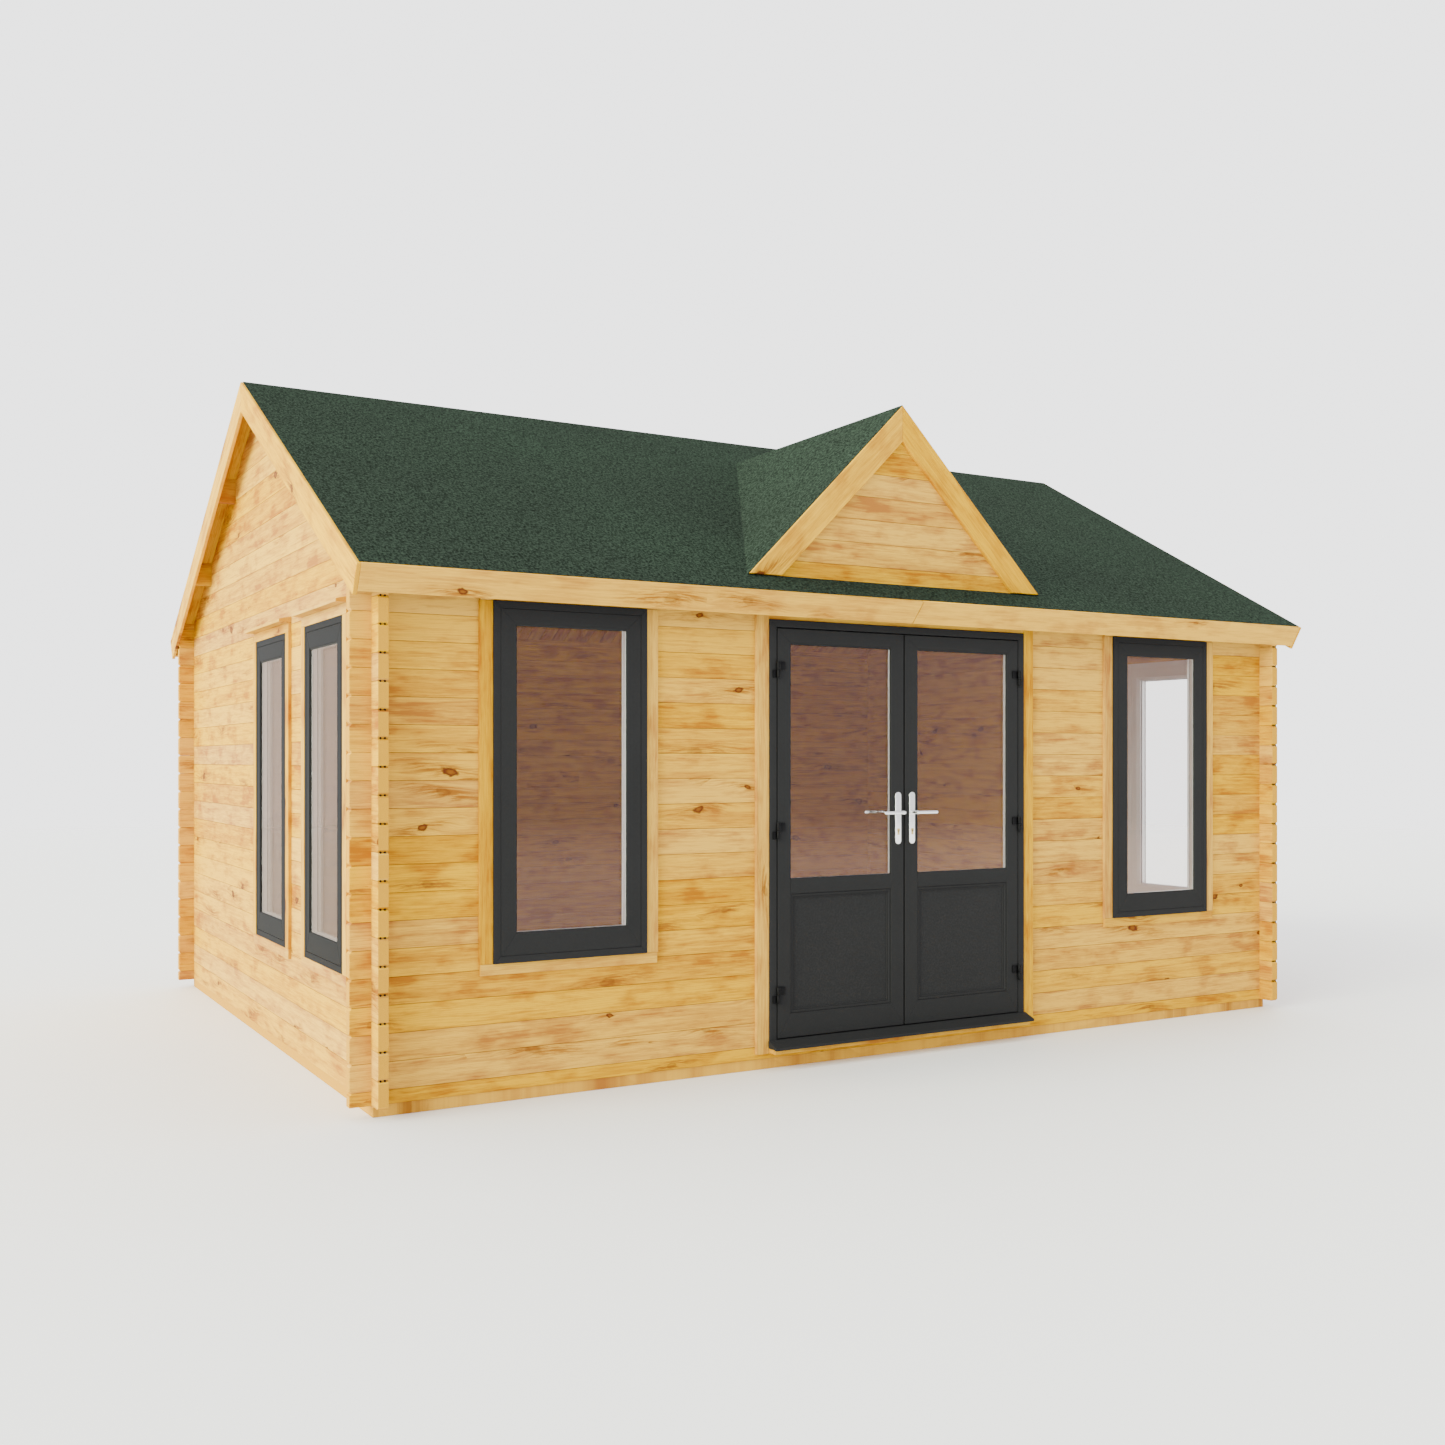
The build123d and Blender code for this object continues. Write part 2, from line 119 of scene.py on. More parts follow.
FLOOR_FADE = (9.0, 34.0)
KEY_COLOUR = (0.95, 1.0, 0.78)
KEY_AIM = Vector((0.92, 0.12, -0.32))
CAMERA_PLACE = (-4.3372, -7.7341, 1.4425)
CAMERA_TURN = math.radians(29.965)

STILL = Matrix.Identity(4)
MIRROR = Matrix.Diagonal((-1, 1, 1, 1))
TURN = Matrix.Rotation(math.pi, 4, "Z")

# Ways along the boards and through them, in walls along X and along Y
WALL_GRAIN = (((1, 0, 0), (0, 1, 0)), ((0, 1, 0), (1, 0, 0)))

finishes = {}


def length(name, description, default):
    return bpy.props.FloatProperty(name=name, description=description, default=default, min=0.0, subtype="DISTANCE",
                                   unit="LENGTH", precision=4)


def colour(name, description, default):
    return bpy.props.FloatVectorProperty(name=name, description=description, default=default, size=3, min=0.0,
                                         max=1.0, subtype="COLOR")


class CabinSizes(bpy.types.PropertyGroup):
    """Sizes of the logs, boards and joinery"""
    log_height: length("Log height", "From one joint to the next", 0.114)
    log_thickness: length("Log thickness", "Thickness of the log walls", 0.044)
    first_joint: length("Ground to first log", "Underside of the lowest side log", 0.05)
    joint_chamfer: length("Joint chamfer", "Chamfer along the logs' edges", 0.0022)
    end_chamfer: length("End chamfer", "Depth of the V between log ends", 0.010)
    edge_softness: length("Edge softness", "Rounding of sawn edges", 0.0012)
    roof_board: length("Roof board thickness", "Thickness of the roof boards", 0.019)
    floor_board: length("Floor board width", "Width of one floor board", 0.114)
    frame_rounding: length("Frame rounding", "Rounding of the door frame and the leaves", 0.003)
    pane: length("Pane", "Thickness of one pane", 0.004)


class CabinColours(bpy.types.PropertyGroup):
    """Colours of the finishes"""
    wood_pale: colour("Pale wood", "Early wood", (0.70, 0.388, 0.020))
    wood_warm: colour("Warm wood", "Streaks of late wood", (0.37, 0.133, 0.008))
    wood_knot: colour("Knots", "Heart of the knots", (0.085, 0.014, 0.006))
    wood_edge: colour("Joint", "Shade in the joints", (0.20, 0.070, 0.010))
    felt: colour("Felt", "Roofing felt", (0.0128, 0.0204, 0.0143))
    frames: colour("Frames", "Outside of the frames and doors", (0.0200, 0.0201, 0.0212))
    lining: colour("Lining", "Inside of the frames and doors", (0.80, 0.80, 0.80))
    metal: colour("Handles", "Handles and plates", (0.86, 0.86, 0.87))
    floor: colour("Ground", "Floor of the studio", (0.92, 0.92, 0.92))


class CabinStage(bpy.types.PropertyGroup):
    """Light round the cabin"""
    surround: bpy.props.FloatProperty(name="Surround", default=3.2,
                                      description="Strength of the light from all sides")
    front: bpy.props.FloatProperty(name="Front", default=0.5,
                                   description="Share of the surround's light that comes from the front")
    key: bpy.props.FloatProperty(name="Key", default=8.0, description="Strength of the light from the left")
    key_size: bpy.props.FloatProperty(name="Key size", description="Angle that the key light fills",
                                      default=math.radians(50), subtype="ANGLE", unit="ROTATION")


# Shader maths

class Value:
    """A socket of a finish, on which sums are written as plain arithmetic."""

    def __init__(self, finish, socket):
        self.finish = finish
        self.socket = socket

    def sum(self, operation, *terms):
        return self.finish.add("ShaderNodeMath", {"operation": operation}, dict(enumerate(terms)))

    def __add__(self, other): return self.sum("ADD", self, other)
    def __radd__(self, other): return self.sum("ADD", other, self)
    def __sub__(self, other): return self.sum("SUBTRACT", self, other)
    def __rsub__(self, other): return self.sum("SUBTRACT", other, self)
    def __mul__(self, other): return self.sum("MULTIPLY", self, other)
    def __rmul__(self, other): return self.sum("MULTIPLY", other, self)
    def __truediv__(self, other): return self.sum("DIVIDE", self, other)
    def __pow__(self, other): return self.sum("POWER", self, other)
    def __abs__(self): return self.sum("ABSOLUTE", self)
    def root(self): return self.sum("SQRT", self)
    def wave(self): return self.sum("SINE", self)
    def fraction(self): return self.sum("FRACT", self)
    def least(self, other): return self.sum("MINIMUM", self, other)
    def most(self, other): return self.sum("MAXIMUM", self, other)


class Finish:
    """A material and the few ways in which its nodes are added."""

    def __init__(self, name):
        self.material = bpy.data.materials.new(name)
        self.material.use_nodes = True
        self.tree = self.material.node_tree
        self.shader = self.tree.nodes["Principled BSDF"]

    def add(self, kind, settings=None, sockets=None, out=0):
        """A node: its settings first, then the values or links of its sockets."""
        node = self.tree.nodes.new(kind)
        for name, setting in (settings or {}).items():
            setattr(node, name, setting)
        for name, source in (sockets or {}).items():
            self.feed(node.inputs[name], source)
        return Value(self, node.outputs[out])

    def feed(self, socket, source):
        if isinstance(source, Value):
            self.tree.links.new(source.socket, socket)
        elif hasattr(source, "__len__") and len(socket.default_value) == 4:
            socket.default_value = (*source[:3], 1.0)
        else:
            socket.default_value = source

    def set(self, **sockets):
        """Values or links of the shader's own sockets."""
        for name, source in sockets.items():
            self.feed(self.shader.inputs[name.replace("_", " ")], source)

    def attribute(self, name, out="Vector"):
        return self.add("ShaderNodeAttribute", {"attribute_name": name}, out=out)

    def place(self):
        return self.add("ShaderNodeTexCoord", out="Object")

    def parts(self, vector):
        node = self.add("ShaderNodeSeparateXYZ", sockets={0: vector}).socket.node
        return [Value(self, socket) for socket in node.outputs]

    def vector(self, x, y, z):
        return self.add("ShaderNodeCombineXYZ", sockets={0: x, 1: y, 2: z})

    def noise(self, vector, scale=1.0, detail=2.0, roughness=0.5, distortion=0.0):
        return self.add("ShaderNodeTexNoise", sockets={"Vector": vector, "Scale": scale, "Detail": detail,
                                                       "Roughness": roughness, "Distortion": distortion})

    def ramp(self, value, low, high, start=0.0, end=1.0):
        """Smooth step from start at low to end at high."""
        return self.add("ShaderNodeMapRange", {"interpolation_type": "SMOOTHSTEP"},
                        {0: value, 1: low, 2: high, 3: start, 4: end})

    def mix(self, share, first, second):
        return self.add("ShaderNodeMix", {"data_type": "RGBA"}, {0: share, 6: first, 7: second}, out=2)

    def tone(self, tint, saturation=1.0, value=1.0):
        return self.add("ShaderNodeHueSaturation", sockets={"Saturation": saturation, "Value": value, "Color": tint})

    def bump(self, height, strength, distance):
        return self.add("ShaderNodeBump", sockets={"Strength": strength, "Distance": distance, "Height": height})


def blend(first, second, share):
    """A colour between two others, worked out in numbers."""
    return [(1 - share) * a + share * b for a, b in zip(first, second)]


def scaled(tint, factor, lift=0.0):
    """A colour made lighter or darker, worked out in numbers."""
    return [min(1.0, c * factor + lift) for c in tint]


def wood(name, pale, warm, knot, edge, knots=1.0, streaks=1.0, roughness=0.55, joint=0.5):
    """Planed softwood with rings, streaks and knots that run along each board's own grain."""
    f = Finish(name)
    along, across, deep = f.parts(f.attribute("grain"))
    seed, half_width = f.parts(f.attribute("board"))[:2]
    end = f.attribute("end_grain", "Fac")

    # Knots: one may stand in each cell, and the grain swells round it and leaves a flame on both sides.
    cell = f.vector(along * KNOTS_ALONG, across * KNOTS_ACROSS + seed * 3.0, seed * 41.0)
    knot_node = f.add("ShaderNodeTexVoronoi", sockets={"Vector": cell, "Scale": 1.0}).socket.node
    knot_along, knot_across = f.parts(Value(f, knot_node.outputs["Position"]))[:2]
    size, rare, turn = f.parts(Value(f, knot_node.outputs["Color"]))
    reach_along = along - knot_along / KNOTS_ALONG
    reach_across = across - (knot_across - seed * 3.0) / KNOTS_ACROSS
    wobble = f.noise(f.vector(along * 38.0, across * 55.0, seed * 7.0), detail=3.0)
    there = f.ramp(rare, 1.0 - 0.46 * knots, 1.0 - 0.42 * knots)
    sound = f.ramp(rare, 1.0 - 0.22 * knots, 1.0 - 0.18 * knots)
    radius = KNOT_RADIUS[0] + (KNOT_RADIUS[1] - KNOT_RADIUS[0]) * size
    lean = reach_across + reach_along * (turn - 0.5) * 0.5
    far = (reach_along * reach_along * 0.30 + lean * lean).root() * (0.35 + 1.3 * wobble) / radius
    core = f.ramp(far, 1.15, 0.70) * there
    tail = (reach_along * reach_along * 0.025 + lean * lean).root()
    halo = f.ramp(tail / radius, 2.8, 0.3) * there
    push = f.ramp(tail, 0.05, 0.0) * 0.012 * there

    # Year rings about a heart line that wanders along the tree.
    drift = f.noise(f.vector(along * 0.55, seed * 17.0, 0.0), detail=1.0) - 0.5
    heart = (seed * 7.31).fraction() * 0.16 - 0.08 + drift * 0.07
    depth = 0.012 + (seed * 3.77).fraction() * 0.07 + drift * 0.03
    waver = f.noise(f.vector(along * 2.3, across * 22.0, seed * 31.0), detail=3.0) - 0.5
    side = across - heart
    from_heart = (side * side + (deep + depth) * (deep + depth)).root()
    rings = (from_heart + push + waver * 0.007) / RING_STEP
    ring = rings.fraction() ** 2.2 * f.ramp(rings.fraction(), 1.0, 0.92)
    wide_ring = ((rings * 0.31).wave() * 0.5 + 0.5) * f.ramp(waver, -0.10, 0.12)

    # Streaks of three widths, the fibres, and each board's own depth of colour.
    broad = f.noise(f.vector(along * 1.9, across * 30.0 + push * 60.0, seed * 53.0), detail=6.0, roughness=0.70)
    fine = f.noise(f.vector(along * 7.0, across * 105.0 + push * 150.0, seed * 61.0), detail=6.0, roughness=0.70)
    patch = f.noise(f.vector(along * 5.2, across * 11.0, seed * 71.0), detail=3.0)
    fibre = f.noise(f.vector(along * 14.0, across * 520.0, deep * 520.0 + seed * 9.0), detail=2.0)
    own = (seed * 11.7).fraction()
    shade = (f.ramp(broad, 0.40, 0.64) * 0.44 + f.ramp(fine, 0.42, 0.66) * 0.42 + f.ramp(patch, 0.48, 0.70) * 0.50
             + wide_ring * 0.16 + own * 0.42 - 0.28) * streaks

    deep_tint = blend(warm, knot, 0.34)
    tint = f.mix(shade.least(1.0).most(0.0), pale, warm)
    tint = f.mix((ring * 0.26 * streaks).least(1.0), tint, deep_tint)
    tint = f.tone(tint, value=0.94 + 0.12 * fibre, saturation=0.94 + 0.10 * (seed * 5.3).fraction())
    flame = halo * (0.25 + 0.90 * f.ramp(fine, 0.44, 0.60))
    tint = f.mix(flame.least(1.0) * 0.90, tint, deep_tint)
    heartwood = f.mix(f.ramp(far, 0.75, 0.2), knot, blend(warm, knot, 0.55))
    tint = f.mix(core * (0.35 + 0.60 * sound), tint, heartwood)

    # Sawn ends, and the shade in the joints.
    sawn = f.mix((from_heart / SAWN_RING_STEP).fraction() * 0.5 + 0.15, pale, warm)
    sawn = f.tone(sawn, value=0.86 + 0.2 * f.noise(f.vector(across * 300.0, deep * 300.0, seed), detail=2.0))
    tint = f.mix(end, tint, sawn)
    uneven = f.noise(f.vector(along * 5.0, seed * 19.0, 0.0), detail=3.0)
    gap = f.ramp(half_width - abs(across), *JOINT_SHADE) * (1.0 - end)
    tint = f.mix(gap * joint * f.ramp(uneven, 0.25, 0.60, 0.35, 1.0), tint, edge)

    f.set(Base_Color=tint, Roughness=roughness - 0.08 * ring + 0.10 * fibre, Specular_IOR_Level=0.05,
          Normal=f.bump(fibre * 0.35 - ring * 0.5 - core * 0.4, 0.35, 0.0006))
    return f.material


def felt(name, tint):
    """Mineral felt: fine worm-like grit over a soft mottle."""
    f = Finish(name)
    p = f.place()
    x, y, z = f.parts(p)
    weave = f.noise(p, scale=88.0, detail=3.0, roughness=0.65, distortion=0.6)
    threads = f.noise(f.vector(x * 140.0, y * 55.0, z * 55.0), detail=2.0)
    cloud = f.noise(p, scale=1.1, detail=3.0)
    grit = f.ramp(weave * 0.65 + threads * 0.35, 0.36, 0.64)
    base = f.mix(grit, scaled(tint, 0.34), scaled(tint, 2.1, 0.004))
    base = f.tone(base, value=0.78 + 0.44 * cloud, saturation=0.85 + 0.3 * cloud)
    f.set(Base_Color=base, Roughness=0.88 + 0.1 * grit, Normal=f.bump(grit, 0.5, 0.002), Specular_IOR_Level=0.01)
    return f.material


def profile_plastic(name, tint, embossed=False):
    """Foiled frame section with a faint pressed grain, or a pebbled panel."""
    f = Finish(name)
    p = f.place()
    if embossed:
        pebbles = f.add("ShaderNodeTexVoronoi", {"feature": "SMOOTH_F1"}, {"Vector": p, "Scale": 130.0})
        height = pebbles + f.noise(p, scale=300.0, detail=2.0) * 0.3
        strength, distance = 0.6, 0.0012
    else:
        height = f.noise(p, scale=260.0, detail=3.0)
        strength, distance = 0.20, 0.0004
    cloud = f.noise(p, scale=3.0, detail=2.0)
    base = f.tone(f.mix(height, scaled(tint, 0.8), scaled(tint, 1.25)), value=0.92 + 0.16 * cloud)
    f.set(Base_Color=base, Roughness=0.44 + 0.12 * height, Normal=f.bump(height, strength, distance),
          Specular_IOR_Level=0.02)
    return f.material


def rubber(name, tint=(0.020, 0.020, 0.020)):
    """Dull dark seal, or painted shade that stands for the dark inside of a narrow gap."""
    f = Finish(name)
    grain = f.noise(f.place(), scale=400.0, detail=2.0)
    f.set(Base_Color=f.mix(grain, scaled(tint, 0.7), scaled(tint, 1.3)), Roughness=0.6 + 0.2 * grain,
          Specular_IOR_Level=0.1)
    return f.material


def metal(name, tint, roughness):
    """Plated or coated metal with faint handling marks."""
    f = Finish(name)
    p = f.place()
    marks = f.noise(p, scale=60.0, detail=4.0, roughness=0.7)
    lines = f.noise(f.add("ShaderNodeMapping", sockets={"Vector": p, "Scale": (900.0, 900.0, 30.0)}), detail=2.0)
    f.set(Base_Color=f.mix(marks, scaled(tint, 0.94), tint), Roughness=roughness + 0.10 * marks,
          Normal=f.bump(lines, 0.05, 0.0001), Metallic=1.0)
    return f.material


def pane_finish(name):
    """Clear pane: light passes, and the surround mirrors in it the more, the flatter it is seen."""
    f = Finish(name)
    flat = f.add("ShaderNodeLayerWeight", sockets={"Blend": 0.5}, out=1)
    smear = f.noise(f.place(), scale=2.0, detail=2.0)
    f.set(Base_Color=f.mix(f.ramp(flat, 0.20, 0.75), (1.0, 0.64, 0.57), (0.39, 0.30, 0.235)),
          Roughness=0.01 + 0.02 * smear, Alpha=(flat ** 3.0 * 0.60 + 0.019).least(1.0),
          Metallic=1.0, Specular_Tint=(0.73, 0.64, 0.58, 1.0))
    return f.material


def ground(name, tint):
    """Studio floor that fades into the surround far away."""
    f = Finish(name)
    p = f.place()
    x, y = f.parts(p)[:2]
    grain = f.noise(p, scale=2.0, detail=2.0)
    f.set(Base_Color=f.mix(grain, scaled(tint, 0.99), tint), Roughness=0.55 + 0.1 * grain,
          Alpha=f.ramp((x * x + y * y).root(), *FLOOR_FADE, 1.0, 0.0), Specular_IOR_Level=0.25)
    return f.material


def finish(name):
    """The named finish, made on first use."""
    colours = bpy.context.scene.log_cabin.colours
    pale, frames = tuple(colours.wood_pale), tuple(colours.frames)
    others = [tuple(c) for c in (colours.wood_warm, colours.wood_knot, colours.wood_edge)]
    recipes = {
        "log wood": lambda: wood(name, pale, *others),
        "roof wood": lambda: wood(name, scaled(pale, 0.85), *others, streaks=1.25),
        "edge wood": lambda: wood(name, scaled(pale, 1.06), *others, knots=0.9, streaks=0.7, joint=0.0),
        "trim wood": lambda: wood(name, scaled(pale, 0.92, 0.009), *others, knots=0.8, streaks=0.9, joint=0.0),
        "floor wood": lambda: wood(name, pale, *others, roughness=0.45),
        "bearer wood": lambda: wood(name, pale, *others, streaks=0.8, joint=0.0),
        "felt": lambda: felt(name, tuple(colours.felt)),
        "frame": lambda: profile_plastic(name, frames),
        # painted shade: the frames' own colour made 0.46 times as dark for the side windows, to offset the key light
        # on the side walls
        "side frame painted shade": lambda: profile_plastic(name, scaled(frames, 0.46)),
        "panel": lambda: profile_plastic(name, frames, embossed=True),
        "lining": lambda: profile_plastic(name, tuple(colours.lining)),
        "seal": lambda: rubber(name),
        # painted shade: dark brown for the bars that stand for the shade inside the tongue holes
        "gap": lambda: rubber(name, (0.016, 0.006, 0.003)),
        "spacer": lambda: metal(name, (0.88, 0.88, 0.88), 0.45),
        "glass": lambda: pane_finish(name),
        "handle metal": lambda: metal(name, tuple(colours.metal), 0.16),
        "hinge metal": lambda: metal(name, (0.013, 0.013, 0.014), 0.42),
        "brass": lambda: metal(name, (0.62, 0.47, 0.20), 0.30),
    }
    if name not in finishes:
        finishes[name] = recipes[name]()
    return finishes[name]


# Modelling

def choose(*pieces):
    """Select pieces, the first of them as the active one."""
    bpy.ops.object.select_all(action="DESELECT")
    for piece in pieces:
        piece.select_set(True)
    bpy.context.view_layer.objects.active = pieces[0]


def delete(*pieces):
    choose(*pieces)
    bpy.ops.object.delete()


def done():
    bpy.ops.object.mode_set(mode="OBJECT")


def bake_place():
    """Put the place of the selected pieces into their meshes."""
    bpy.ops.object.transform_apply(location=True, rotation=True, scale=True)


def turned(piece, place):
    """Move or turn a piece, and put its place into its mesh."""
    piece.matrix_world = place
    choose(piece)
    bake_place()
    return piece


def block(low, high):
    """A block between two corners."""
    bpy.ops.object.select_all(action="DESELECT")
    low, high = Vector(low), Vector(high)
    bpy.ops.mesh.primitive_cube_add(size=1, location=(low + high) / 2, scale=high - low)
    bake_place()
    return bpy.context.object


def rod(start, end, radius, sides=24):
    """A round bar between two points."""
    bpy.ops.object.select_all(action="DESELECT")
    start, end = Vector(start), Vector(end)
    run = end - start
    bpy.ops.mesh.primitive_cylinder_add(vertices=sides, radius=radius, depth=run.length, location=(start + end) / 2,
                                        rotation=run.to_track_quat("Z", "Y").to_euler())
    bake_place()
    return bpy.context.object


def select_where(piece, kind, test):
    """Open a piece for editing with those of its edges or faces selected that pass a test."""
    choose(piece)
    bpy.ops.object.mode_set(mode="EDIT")
    bpy.ops.mesh.select_mode(type=kind)
    bpy.ops.mesh.select_all(action="DESELECT")
    shape = bmesh.from_edit_mesh(piece.data)
    for part in shape.edges if kind == "EDGE" else shape.faces:
        part.select_set(bool(test(part)))
    bmesh.update_edit_mesh(piece.data)


def open_whole(piece):
    """Open a piece for editing with all of it selected."""
    choose(piece)
    bpy.ops.object.mode_set(mode="EDIT")
    bpy.ops.mesh.select_all(action="SELECT")


def parallel(axis):
    """Test for edges that run along an axis."""
    def test(a, b):
        run = b - a
        return abs(run[axis]) > 0.999 * run.length
    return test


def bevel_edges(piece, test, width, segments=1):
    """Bevel those edges whose two ends pass a test."""
    select_where(piece, "EDGE", lambda edge: test(edge.verts[0].co, edge.verts[1].co))
    bpy.ops.mesh.bevel(offset=width, segments=segments, affect="EDGES", clamp_overlap=True)
    done()
    return piece


def apply(piece, kind, **settings):
    choose(piece)
    modifier = piece.modifiers.new(kind.lower(), kind)
    for name, setting in settings.items():
        setattr(modifier, name, setting)
    bpy.ops.object.modifier_apply(modifier=modifier.name)
    return piece


def soften(piece, width, segments=1, angle=35):
    return apply(piece, "BEVEL", width=width, segments=segments, limit_method="ANGLE",
                 angle_limit=math.radians(angle), use_clamp_overlap=True)


def repeat(piece, count, step):
    return apply(piece, "ARRAY", count=count, use_relative_offset=False, use_constant_offset=True,
                 constant_offset_displace=step)


def saw(piece, point, normal):
    """Take away what lies beyond a plane, and close the cut."""
    open_whole(piece)
    bpy.ops.mesh.bisect(plane_co=point, plane_no=normal, use_fill=True, clear_outer=True, threshold=0.00001)
    done()
    return piece


def joined(pieces):
    choose(*pieces)
    if len(pieces) > 1:
        bpy.ops.object.join()
    return bpy.context.view_layer.objects.active


def cut(piece, cutter):
    apply(piece, "BOOLEAN", operation="DIFFERENCE", solver="EXACT", object=cutter)
    delete(cutter)
    return piece


def copied(piece, place):
    """A copy with its own mesh, moved, turned or mirrored."""
    choose(piece)
    bpy.ops.object.duplicate()
    twin = turned(bpy.context.view_layer.objects.active, place)
    if place.determinant() < 0:
        open_whole(twin)
        bpy.ops.mesh.normals_make_consistent(inside=False)
        done()
    return twin


def smooth(piece, angle=32):
    choose(piece)
    bpy.ops.object.shade_smooth_by_angle(angle=math.radians(angle))
    return piece


def from_cad(node, softness=0.0):
    """A clean copy of a CAD node, with its edges softened."""
    choose(frame["nodes"][node])
    bpy.ops.object.duplicate()
    piece = bpy.context.view_layer.objects.active
    bpy.ops.object.parent_clear(type="CLEAR_KEEP_TRANSFORM")
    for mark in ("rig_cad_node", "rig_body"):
        if mark in piece:
            del piece[mark]
    piece.data.materials.clear()
    open_whole(piece)
    bpy.ops.mesh.remove_doubles(threshold=0.00002)
    bpy.ops.mesh.dissolve_limited(angle_limit=math.radians(1))
    done()
    return soften(piece, softness) if softness else piece


def loose_parts(mesh):
    """Number of the loose part that each vertex belongs to."""
    owner = list(range(len(mesh.vertices)))

    def top(i):
        while owner[i] != i:
            owner[i] = owner[owner[i]]
            i = owner[i]
        return i

    for a, b in mesh.edge_keys:
        first, second = top(a), top(b)
        if first != second:
            owner[max(first, second)] = min(first, second)
    return np.array([top(i) for i in range(len(owner))])


def lay_grain(piece, seed, run=None, thin=None):
    """Give every board of a piece its own grain: run is along it, thin through it."""
    mesh = piece.data
    points = np.array([v.co for v in mesh.vertices]).reshape(-1, 3)
    owners = loose_parts(mesh)
    grain = np.zeros_like(points)
    board = np.zeros_like(points)
    runs = {}
    draw = random.Random(seed)
    for owner in np.unique(owners):
        own = owners == owner
        if run is None:
            spans = points[own].max(0) - points[own].min(0)
            axes = np.eye(3)[np.argsort(-spans)]
        else:
            along = np.array(Vector(run).normalized())
            deep = np.array(Vector(thin).normalized())
            axes = np.array([along, np.cross(deep, along), deep])
        local = points[own] @ axes.T
        middle = (local.min(0) + local.max(0)) / 2
        half = (local.max(0) - local.min(0)) / 2
        number = draw.random()
        grain[own] = local - middle + [draw.uniform(0, GRAIN_SPREAD), 0, 0]
        board[own] = [number, half[1], half[2]]
        runs[owner] = axes[0]
    for name, values in (("grain", grain), ("board", board)):
        made = mesh.attributes.new(name, "FLOAT_VECTOR", "POINT")
        made.data.foreach_set("vector", values.astype(np.float32).ravel())
    ends = [float(abs(np.dot(face.normal, runs[owners[face.vertices[0]]])) > 0.75) for face in mesh.polygons]
    mesh.attributes.new("end_grain", "FLOAT", "FACE").data.foreach_set("value", ends)
    return piece


def lay_sloped(piece, seed, angle, thin, axis):
    """Grain down both slopes of a pair of boards that meet at the peak."""
    open_whole(piece)
    bpy.ops.mesh.separate(type="LOOSE")
    done()
    halves = sorted(bpy.context.selected_objects, key=lambda o: sum(v.co[axis] for v in o.data.vertices))
    for i, half in enumerate(halves):
        way = Vector((0, 0, -math.sin(angle)))
        way[axis] = -math.cos(angle) if i == 0 else math.cos(angle)
        lay_grain(half, f"{seed}{i}", way, thin)
    return joined([piece, *[half for half in halves if half != piece]])


def finish_piece(piece, name, look, body="cabin", slot=None, nodes=()):
    """Name a finished piece, dress it and let it ride."""
    piece.name = name
    piece.data.name = name
    piece.data.materials.clear()
    piece.data.materials.append(finish(look))
    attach(piece, body)
    if nodes:
        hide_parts(*nodes)
    return piece


def wooden_node(node, look, slot, softness, run=None, thin=None):
    """A CAD node's own shape as boards with grain."""
    piece = lay_grain(from_cad(node, softness), node, run, thin)
    return finish_piece(piece, node + "_wood", look, slot=slot, nodes=[node])


# Studio and floor

class CABIN_OT_stage(bpy.types.Operator):
    """Floor, light and camera of the studio"""
    bl_idname = "cabin.stage"
    bl_label = "Studio"

    def execute(self, context):
        stage = context.scene.log_cabin.stage
        bpy.ops.object.select_all(action="DESELECT")
        bpy.ops.mesh.primitive_circle_add(vertices=96, radius=36, fill_type="NGON", location=(0, 0, -0.0005))
        bake_place()
        floor = context.object
        floor.name = "studio_floor"
        floor.data.materials.append(ground("ground", tuple(context.scene.log_cabin.colours.floor)))
        self.surround(context.scene, stage)
        bpy.ops.object.light_add(type="SUN", location=(-6, -4, 8))
        key = context.object
        key.name = "key_light"
        key.data.energy = stage.key
        key.data.angle = stage.key_size
        key.data.color = KEY_COLOUR
        key.rotation_euler = KEY_AIM.to_track_quat("-Z", "Y").to_euler()
        bpy.ops.object.camera_add(location=CAMERA_PLACE, rotation=(math.radians(90), 0, -CAMERA_TURN))
        camera = context.object
        camera.name = "camera"
        camera.data.lens = 36.05
        camera.data.sensor_width = 36.0
        camera.data.shift_y = 0.0263
        camera.data.clip_end = 200
        context.scene.camera = camera
        return {"FINISHED"}

    def surround(self, scene, stage):
        """Light from all sides, weaker from the front."""
        world = bpy.data.worlds.new("surround")
        scene.world = world
        world.use_nodes = True
        tree = world.node_tree
        sky = tree.nodes["Background"]
        sky.inputs["Color"].default_value = (0.93, 0.935, 0.94, 1)
        way = tree.nodes.new("ShaderNodeTexCoord")
        split = tree.nodes.new("ShaderNodeSeparateXYZ")
        fall = tree.nodes.new("ShaderNodeMapRange")
        fall.interpolation_type = "SMOOTHSTEP"
        for socket, value in ((1, -0.6), (2, 0.3), (3, stage.surround * stage.front), (4, stage.surround)):
            fall.inputs[socket].default_value = value
        tree.links.new(way.outputs["Generated"], split.inputs[0])
        tree.links.new(split.outputs[1], fall.inputs[0])
        tree.links.new(fall.outputs[0], sky.inputs["Strength"])


class CABIN_OT_base(bpy.types.Operator):
    """Bearers, joists and floor boards"""
    bl_idname = "cabin.base"
    bl_label = "Floor"

    def execute(self, context):
        sizes = context.scene.log_cabin.sizes
        for node in ("outer_bearers", "floor_joists"):
            wooden_node(node, "bearer wood", "bearer_wood", sizes.edge_softness)
        low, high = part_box("floor_boards")
        count = round((high.y - low.y) / sizes.floor_board)
        width = (high.y - low.y) / count
        board = block((low.x, low.y, low.z), (high.x, low.y + width - 0.0006, high.z))
        soften(board, sizes.edge_softness)
        repeat(board, count, (0, width, 0))
        lay_grain(board, "floor")
        finish_piece(board, "floor_planks", "floor wood", slot="floor_wood", nodes=["floor_boards"])
        return {"FINISHED"}


# Logs and roof

